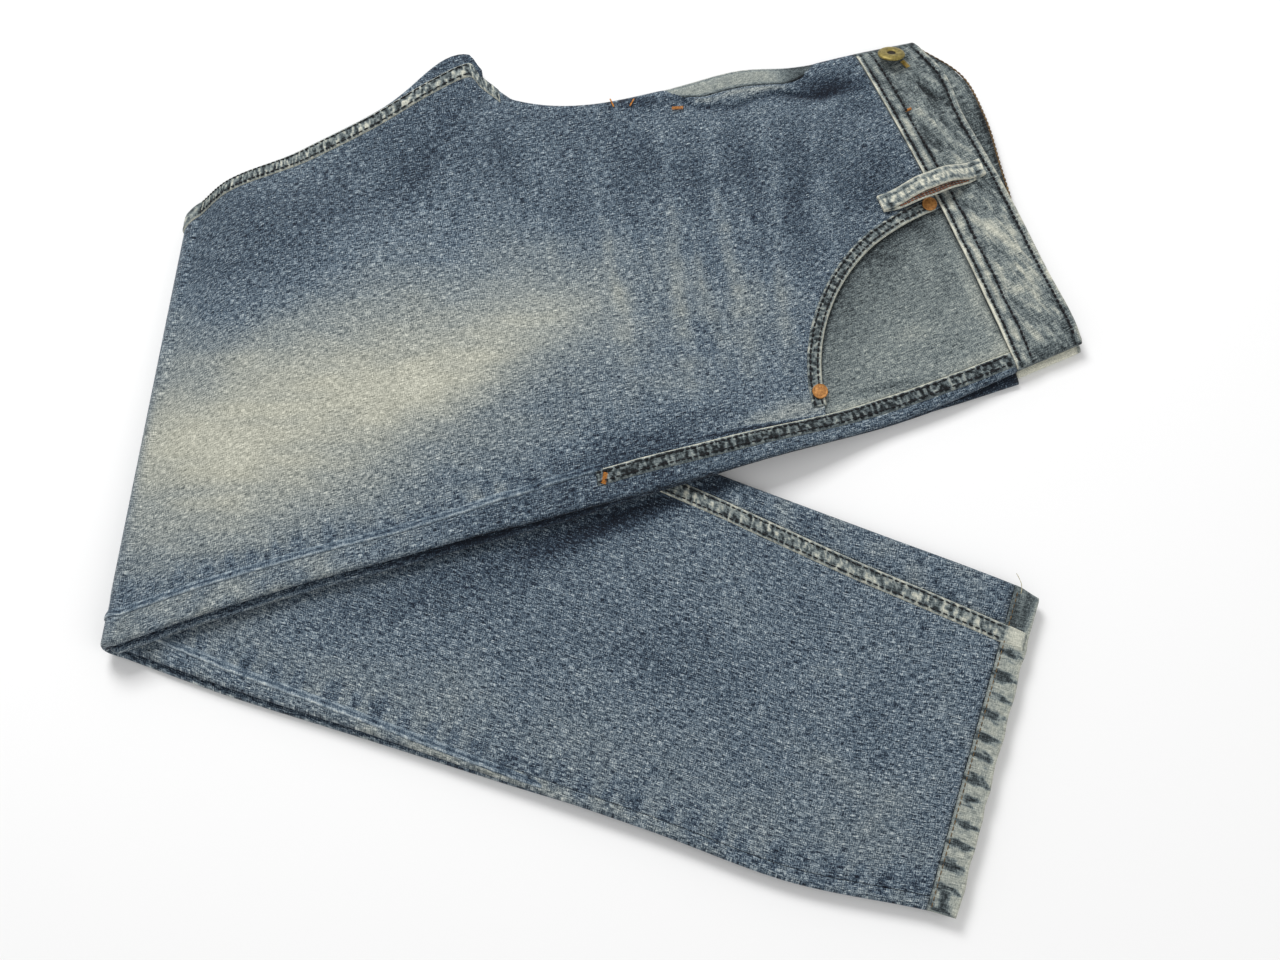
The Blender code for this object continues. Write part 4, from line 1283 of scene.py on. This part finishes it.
def band_fade_and_shade(along, across, depth):
    x, y = plan_place(band_station(along, across), across)
    up = -along / BAND_HEIGHT
    side = near(across - 0.002, 0.007)
    if depth < BAND_LAYERS[3] - 0.0004:
        tone = 0.34 + 0.16 * blotch(across, 0.3, 11) + 0.45 * side
        tone -= 0.25 * smooth_step((up - 0.93) / 0.03)
        return tone + (0.10 if depth < STACK / 2 else -0.30 * side)
    inside = between_rows(up)
    tone = 0.54 - 0.12 * smooth_step((across / thigh_station(along).width - 0.25) / 0.5)
    tone += 0.06 * ripple(x, y, 0.016) + 0.05 * ripple(x, y, 0.005)
    # The wrinkles and creases add painted light on their ridges and painted shade between them.
    tone += inside * (0.15 * band_crumple(x, y) + BAND_CREASE_SHADE * creases_at(BAND_CREASES, x, y))
    tone += (1 - inside) * 0.16 * blotch(across, up * 3, 8)
    tone += 0.50 * near(up, 0.034) + 0.26 * near(1 - up, 0.030)
    # Darker along the rows of stitches: painted shade of the puckers there.
    for row, reach in ((0.075, 0.022), (0.250, 0.026), (0.895, 0.026)):
        tone -= 0.36 * near(up - row, reach)
    # The ovals add the painted shadow beside the belt loop and painted shade in creases.
    tone += 0.16 * near(up - 0.160, 0.040) + inside * ovals_at(BAND_LIGHT_AND_SHADE, x, y)
    return tone - 0.14 * side - 0.12 * near(across - 0.014, 0.014) * (up > 0.3)


def make_waistband():
    rings = []
    for along in spaced(-GAP, -BAND_HEIGHT, -0.0013):
        ring = []
        for across, depth in band_section(thigh_station(along)):
            point = band_point(along, across, depth)
            if depth > BAND_LAYERS[-1] - 0.0001:
                x, y = plan_place(band_station(along, across), across)
                point.z += band_relief(x, y, -along / BAND_HEIGHT)
            flat = (across + depth * 3 + 5.2, along, 0.0)
            ring.append((point, flat, band_fade_and_shade(along, across, depth)))
        rings.append(ring)
    band = loft("waistband_cloth", [rings], GREEN_DENIM, BAND_CLOTH, offset=0.0, closed=True)
    link(band, "waistband_denim", "waistband")

    def band_row(along, first, last):
        at = thigh_station(along)

        def path(share, out):
            across = at.width * (first + (last - first) * share)
            place = band_station(along, across)
            relief = band_relief(*plan_place(place, across), -along / BAND_HEIGHT)
            return leg_point(place, across, BAND_LAYERS[-1] + 0.0009 + out) + Vector((0, 0, relief))

        return path

    paths = [band_row(*row) for row in BAND_ROWS]
    rows = stitched("waistband_topstitching", paths, DARK_THREAD, "waistband_denim", radius=0.00075)

    def edge_path(share, out):
        across = thigh_station(-BAND_HEIGHT).width * (0.40 + 0.57 * share)
        return band_point(-BAND_HEIGHT, across, BAND_LAYERS[2]) + Vector((0.0004 + out, 0, 0.0006))

    edge = stitched(
        "back_band_overlock",
        [edge_path],
        TAN_THREAD,
        "waistband_denim",
        stitch=0.0030,
        space=0.0001,
        radius=0.00075,
    )
    return band, rows, edge


# Fly


def fly_section(at):
    width = placket_width(at)
    shown = smooth_step(width / 0.0030)
    first, last = at.high - width + 0.0004, at.high + FRONT_CURL
    points = []
    for k in range(17):
        across = first + (last - first) * (1 - (1 - k / 16) ** 1.6)
        edge = near(last - across, 0.0022)
        tone = 0.60 + 0.05 * ripple(at.row.along, across, 0.006) + 0.12 * edge
        # Painted shadow of the left front's edge where the placket runs under it.
        tone -= 0.40 * near(across - first, 0.0013)
        # Painted shade in the groove 2 mm in from the fold.
        tone -= 0.22 * near(last - across - 0.0022, 0.0006)
        # Painted shade at the top of the fly, below the waistband.
        tone -= 0.34 * smooth_step((0.084 - at.row.along) / 0.036)
        points.append((across, front_depth(at, across) - 0.0005 * (1 - edge * shown), tone))
    return points


def make_fly():
    rings = leg_rings(thigh_stations(FLY_TOP, FLY_END, 0.0016), fly_section, 6.0)
    return link(loft("fly_placket_cloth", [rings], SEAM_DENIM), "faded_denim", "fly_placket")


# Hems. down is the share of their depth.

HEM_STEPS_ACROSS, HEM_STEPS_DOWN, HEM_CLOTH = 150, 12, 0.0016
LOOSE_THREAD_FROM, LOOSE_THREAD_TO = Vector((0.2137, -0.0700)), Vector((0.2117, -0.0590))


def hem_section(at, is_upper):
    low, high = leg_edges(at, is_upper)
    rise = 0.0 if is_upper else HEM_RISE
    middle, half = STACK - LEG_DEPTH / 2 + rise / 2, LEG_DEPTH / 2 + rise / 2
    side = round_edge(low, EDGE_ROUND, middle, half)
    inner = round_edge(high, -EDGE_ROUND, middle, half)
    first, last = at.low + 0.003, at.high - 0.003
    run = [first + (last - first) * k / HEM_STEPS_ACROSS for k in range(HEM_STEPS_ACROSS + 1)]
    below = [(across, middle - half) for across in run]
    above = [(across, middle + half) for across in reversed(run)]
    return side + below + inner[::-1] + above


def hem_mark(across, down):
    """How dark the hem's puckers are, from 0 to 1: uneven blobs, mostly beside the stitching."""
    slanted = across + (down - 0.5) * 0.0020
    wave = pucker(slanted, 3, 0.0118) + 0.25 * pucker(slanted, 5, 0.0047)
    fleck = uneven(slanted / 0.0017, down * 3.6, 4.0)
    middle = 0.44 + 0.26 * uneven(across / 0.009, 2.0, 9.0)
    reach = 0.60 + 0.25 * uneven(across / 0.008, 5.0, 2.0)
    return smooth_step((wave + 0.20 + 0.9 * fleck - 1.2 * ((down - middle) / reach) ** 2) / 0.75)


def hem_fade(at, across, down):
    beyond = smooth_step((across - at.high + 0.004) / 0.004)
    mark = hem_mark(across, down) * (1 - 0.55 * beyond)
    tone = 0.66 - 0.15 * beyond + 0.07 * ripple(across, down * 0.012, 0.003) - 0.46 * mark
    return tone + 0.12 * near(1 - down, 0.08) - 0.14 * near(down, 0.07)


def hem_ring(down, is_upper):
    drawn_in = HEM_DRAWN_IN if is_upper else 0.0
    at = shin_station(HEM_SEAM + (HEM_DEPTH - drawn_in) * down)
    heading = (at.inner - at.side).normalized()
    outward = Vector((-heading.y, heading.x, 0))
    ring = []
    for across, depth in hem_section(at, is_upper):
        wave = (0.4 - hem_mark(across, 0.4)) * 0.0007 * math.sin(math.pi * min(1.0, down * 1.2))
        depth += wave if depth > STACK - LEG_DEPTH / 2 else -wave * 0.3
        point = leg_point(at, across, depth if is_upper else STACK - depth)
        point += outward * 0.0006 * smooth_step((down - 0.6) / 0.4) * pucker(across, 14, 0.0260)
        ring.append((point, (across + 8.0, at.row.along, 0.0), hem_fade(at, across, down)))
    return ring


def make_hems():
    made = []
    for side, is_upper in (("left", True), ("right", False)):
        rings = [hem_ring(down, is_upper) for down in shares(HEM_STEPS_DOWN)]
        piece = loft(f"hem_{side}", [rings], SEAM_DENIM, HEM_CLOTH, closed=True, flip=is_upper)
        made.append(link(piece, "faded_denim", f"{side}_hem"))
    at = shin_station(HEM_SEAM + 0.0016)
    first, last = at.low - 0.006, at.width - 0.004

    def hem_row(share, out):
        depth = STACK + (out + HEM_RISE + 0.0001)
        return leg_point(at, first + (last - first) * share, STACK - depth)

    def loose_end(share, out):
        start, end = LOOSE_THREAD_FROM - ORIGIN, LOOSE_THREAD_TO - ORIGIN
        place = start + (end - start) * share
        bend = 0.0012 * math.sin(3.5 * share)
        return Vector((place.x + bend, place.y, 0.0105 + 0.0030 * share + out))

    made.append(stitched("hem_topstitching", [hem_row], TAN_THREAD, "faded_denim", radius=0.00026))
    thread = {"stitch": 0.0040, "space": -0.0004, "radius": 0.00022}
    made.append(stitched("loose_thread", [loose_end], CREAM_THREAD, "faded_denim", **thread))
    return made


# Belt loop

LOOP_UNDER_SHIFT = 0.0042
LOOP_STEPS, LOOP_LENGTH = 72, 0.07


def make_belt_loop():
    foot = LOOP_TOP_FOOT - ORIGIN
    run = LOOP_LOW_FOOT - ORIGIN - foot
    aside = Vector((run.y, -run.x)).normalized() * LOOP_WIDTH / 2
    made = []
    for name, node, shift in (
        ("loop_under", "belt_loop_under", -LOOP_UNDER_SHIFT),
        ("loop_over", "belt_loop", 0.0),
    ):
        low_corner, high_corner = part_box(node)
        base, peak = low_corner.z, high_corner.z - 0.0010
        rings = []
        for share in shares(LOOP_STEPS):
            from_end = min(share, 1 - share)
            arch = smooth_step((from_end - 0.10) / 0.30)
            place = foot + run * share + Vector((0, shift * math.sin(math.pi * share)))
            ring = []
            for j in range(9):
                side = j / 4 - 1
                height = base + (peak - base) * arch + 0.0003 * (1 - abs(side) ** 3)
                rub = near(1 - abs(side), 0.22)
                line = near(abs(side) - 0.60, 0.14)
                flecks = blotch(share * LOOP_LENGTH, side, 3)
                tone = 0.72 + 0.24 * flecks * (1 - rub) + 0.16 * rub - 0.46 * line
                tone += 0.2 * near(from_end, 0.012) - 0.34 * near(from_end - 0.075, 0.022)
                flat = (side * 0.005 + 7.0, share * LOOP_LENGTH, 0.0)
                ring.append((Vector((*(place + aside * side), height)), flat, tone))
            rings.append(ring)
        piece = loft(name, [rings], SEAM_DENIM, offset=1.0)
        made.append(link(piece, "faded_denim", node))
        if node == "belt_loop_under":
            made.append(rust_rows(rings))
    return made


def rust_rows(rings):
    """The coverstitch threads on the loop's under ply, which show below the upper ply."""

    def row(column):
        def path(share, out):
            place = (0.16 + 0.68 * share) * (len(rings) - 1)
            k = min(int(place), len(rings) - 2)
            here, after = rings[k][column][0], rings[k + 1][column][0]
            return here + (after - here) * (place - k) + Vector((0, 0, 0.0011 + out))

        return path

    paths = [row(column) for column in (1, 2, 3)]
    thread = {"stitch": 0.0022, "space": 0.0002, "radius": 0.00042}
    return stitched("loop_coverstitch", paths, RUST_CLOTH, "faded_denim", **thread)


# Metal. A profile is (radius, height) from top to bottom.

RIVET = [
    (0, 0.00095), (0.0010, 0.00095), (0.0028, 0.00090), (0.0033, 0.00080), (0.0036, 0.00085),
    (0.0041, 0.00115), (0.0045, 0.00095), (0.0046, 0.00040), (0.0044, 0.0), (0, 0.0),
]
BUTTON = [
    (0, 0.0003), (0.0024, 0.0003), (0.0027, 0.0009), (0.0031, 0.0014), (0.0038, 0.0016), (0.0058, 0.0016),
    (0.0072, 0.0013), (0.0081, 0.0008), (0.0085, 0.0002), (0.0084, -0.0003), (0.0078, -0.0006),
    (0.0060, -0.0007), (0.0028, -0.0008), (0.0024, -0.0018), (0.0016, -0.0026), (0, -0.0030),
]
LOWER_RIVET_MOVED = Vector((0.0016, -0.0030, 0))
BUTTON_ROW, BUTTON_INSET, BUTTON_TILT = -0.0190, 0.0102, math.radians(-30)
BUTTON_MOVED = Vector((0.0014, 0.0004, 0.0034))
RIVET_SIDES, BUTTON_SIDES, SLOT_SIDES = 48, 64, 24
SLOT_RADIUS, SLOT_TOP, SLOT_FLOOR = 0.0026, 0.0008, 0.0002


def tilted(mesh, place, tilt):
    mesh.transform(Matrix.Translation(place) @ Matrix.Rotation(tilt, 4, "X"))
    return mesh


def turned(name, profile, material, slot, place, tilt, sides, *nodes):
    """A round metal piece about its own +Z."""
    points, faces, rounds = [], [], []
    for radius, height in profile:
        rounds.append([len(points) + (k if radius else 0) for k in range(sides)])
        for k in range(sides if radius else 1):
            angle = 2 * math.pi * k / sides
            points.append((radius * math.cos(angle), radius * math.sin(angle), height))
    for upper, lower in zip(rounds, rounds[1:]):
        for k in range(sides):
            after = (k + 1) % sides
            corners = (upper[after], upper[k], lower[k], lower[after])
            faces.append(tuple(dict.fromkeys(corners)))
    mesh = tilted(new_mesh(name, points, faces, material), place, tilt)
    mesh.shade_smooth()
    mesh.set_sharp_from_angle(angle=math.radians(50))
    return link(bpy.data.objects.new(name, mesh), slot, *nodes)


def make_rivets():
    made = []
    for node, moved in (("rivet_upper", Vector()), ("rivet_lower", LOWER_RIVET_MOVED)):
        low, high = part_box(node)
        place = Vector(((low.x + high.x) / 2, (low.y + high.y) / 2, low.z)) + moved
        made.append(turned(f"{node}_cap", RIVET, COPPER, "copper", place, 0, RIVET_SIDES, node))
    return made


def make_button():
    at = thigh_station(BUTTON_ROW)
    place = leg_point(at, at.width - BUTTON_INSET, BAND_LAYERS[-1] + BAND_WALL / 2 + GAP)
    place += BUTTON_MOVED
    button = turned("button_cap", BUTTON, BRASS, "brass", place, BUTTON_TILT, BUTTON_SIDES, "button")
    sides = SLOT_SIDES
    angles = [2 * math.pi * k / sides for k in range(sides)]
    rim = [(SLOT_RADIUS * math.cos(angle), SLOT_RADIUS * math.sin(angle)) for angle in angles]
    points = [(x, y, SLOT_TOP) for x, y in rim] + [(x * 0.9, y * 0.9, SLOT_FLOOR) for x, y in rim]
    faces = [tuple(range(sides)), tuple(reversed(range(sides, 2 * sides)))]
    faces += [(k, k + sides, (k + 1) % sides + sides, (k + 1) % sides) for k in range(sides)]
    mesh = tilted(new_mesh("button_slot", points, faces, DARK_METAL), place, BUTTON_TILT)
    return button, link(bpy.data.objects.new("button_slot", mesh), "brass")


# Bar tacks: place in the plan, heading in degrees, length, width and number of threads.

ORANGE_TACKS = [
    (-0.0200, -0.0060, 78, 0.0070, 0.0030, 9),
    (0.0233, 0.2385, 4, 0.0072, 0.0024, 9),
    (-0.0175, 0.2420, 25, 0.0007, 0.0062, 2),
    (-0.0050, 0.2420, -25, 0.0007, 0.0058, 2),
    (0.1665, 0.2370, 25, 0.0042, 0.0018, 6),
]
YELLOW_TACK = (0.1662, 0.2690, -50, 0.0060, 0.0030, 7)


def surface_at(x, y):
    """The cloth's top at a place in the plan, as a function of the distance out of it."""
    nearest = None
    for at in thigh_stations(-0.038, 0.50, 0.004):
        line = at.inner - at.side
        share = (Vector((x, y)) - at.side).dot(line) / line.length_squared
        distance = (plan_place(at, share * at.width) - Vector((x, y))).length
        if 0 <= share <= 1 and (nearest is None or distance < nearest[0]):
            nearest = (distance, at, share * at.width)
    _, at, across = nearest
    top = leg_point(at, across, front_depth(at, across)).z
    return lambda out: Vector((x - ORIGIN.x, y - ORIGIN.y, top + out))


def flat_bar(x, y, heading, length, width, count):
    """The threads of a bar tack, as paths laid side by side."""
    paths = []
    centre, heading = surface_at(x, y), math.radians(heading)
    along = Vector((math.cos(heading), math.sin(heading), 0))
    aside = Vector((-math.sin(heading), math.cos(heading), 0))
    for k in range(count):
        middle = along * length * ((k + 0.5) / count - 0.5)
        slant = along * length * 0.5 / count

        def path(share, out, middle=middle, slant=slant):
            return centre(out) + middle + (aside * width + slant) * (share - 0.5)

        paths.append(path)
    return paths


def make_tacks():
    orange = [path for tack in ORANGE_TACKS for path in flat_bar(*tack)]
    yellow = flat_bar(*YELLOW_TACK)
    thin = {"stitch": 0.0030, "space": 0.0, "radius": 0.00030, "base": 0.0012, "arch": 0.0003}
    thick = {"stitch": 0.0030, "space": 0.0, "radius": 0.00032, "base": 0.0014, "arch": 0.0004}
    return [
        stitched("orange_tacks", orange, ORANGE_THREAD, "faded_denim", **thin),
        stitched("buttonhole_end", yellow, YELLOW_THREAD, "waistband_denim", **thick),
    ]


# The object

fronts = make_fronts()
backs = make_backs()
seams = make_seams()
leg_rows = make_leg_stitching()
facing, pocket_edge, pocket_rows = make_pocket()
band, *band_rows = make_waistband()
placket = make_fly()
hems = make_hems()
loops = make_belt_loop()
rivets = make_rivets()
buttons = make_button()
tacks = make_tacks()

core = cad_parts["hidden_layers"]
core.data.materials.clear()
core.data.materials.append(mixed("inner_denim", (20, 28, 44), (52, 66, 88), 0.0015, 0.9))

# Pieces gathered by the cloth they lie on; nothing below uses these lists. Each front is one panel 1.0 m
# long; the backs are given by what shows of them.
left_pieces = [*seams[:2], seams[3], leg_rows, placket, hems[0], tacks[0]]
band_pieces = [*band_rows, *loops, *buttons, tacks[1]]

# The floor, the light and the camera

floor_material, _, floor_shader = shader_of("pale_floor", 0.95)
floor_shader.inputs["Base Color"].default_value = (0.86, 0.86, 0.86, 1)
floor_corners = [(-4, -4, 0), (4, -4, 0), (4, 4, 0), (-4, 4, 0)]
floor = bpy.data.objects.new("floor", new_mesh("floor", floor_corners, [(0, 1, 2, 3)], floor_material))
bpy.context.scene.collection.objects.link(floor)

world = bpy.data.worlds.new("soft_room")
world.use_nodes = True
background = world.node_tree.nodes["Background"]
background.inputs["Color"].default_value = (1.0, 1.0, 1.0, 1)
background.inputs["Strength"].default_value = 0.55
bpy.context.scene.world = world


def stand(name, data, place, direction):
    """Adds a light or a camera that looks in a direction."""
    thing = bpy.data.objects.new(name, data)
    thing.location = place
    thing.rotation_mode = "QUATERNION"
    thing.rotation_quaternion = direction.to_track_quat("-Z", "Y")
    bpy.context.scene.collection.objects.link(thing)
    return thing


def area_light(name, place, size, power):
    """A square light that looks at the middle of the table."""
    light = bpy.data.lights.new(name, "AREA")
    light.size = size
    light.energy = power
    stand(name, light, place, -Vector(place))


area_light("key", (-0.5, 1.1, 1.4), size=0.7, power=26)
area_light("fill", (1.2, -0.9, 1.4), size=1.4, power=8)
bpy.context.scene.view_settings.view_transform = "Standard"

# The photograph is 1280 pixels wide and was taken from about 0.87 m, 73 degrees above the table.
IMAGE_WIDTH, FOCAL_PIXELS = 1280, 1500
DISTANCE, ELEVATION = 0.872, math.radians(73)
TARGET = Vector((-ORIGIN.x, -ORIGIN.y, 0.0))
camera_data = bpy.data.cameras.new("camera")
camera_data.sensor_width = 36
camera_data.lens = FOCAL_PIXELS / IMAGE_WIDTH * camera_data.sensor_width
back = Vector((0, -math.cos(ELEVATION), math.sin(ELEVATION)))
bpy.context.scene.camera = stand("camera", camera_data, TARGET + back * DISTANCE, -back)
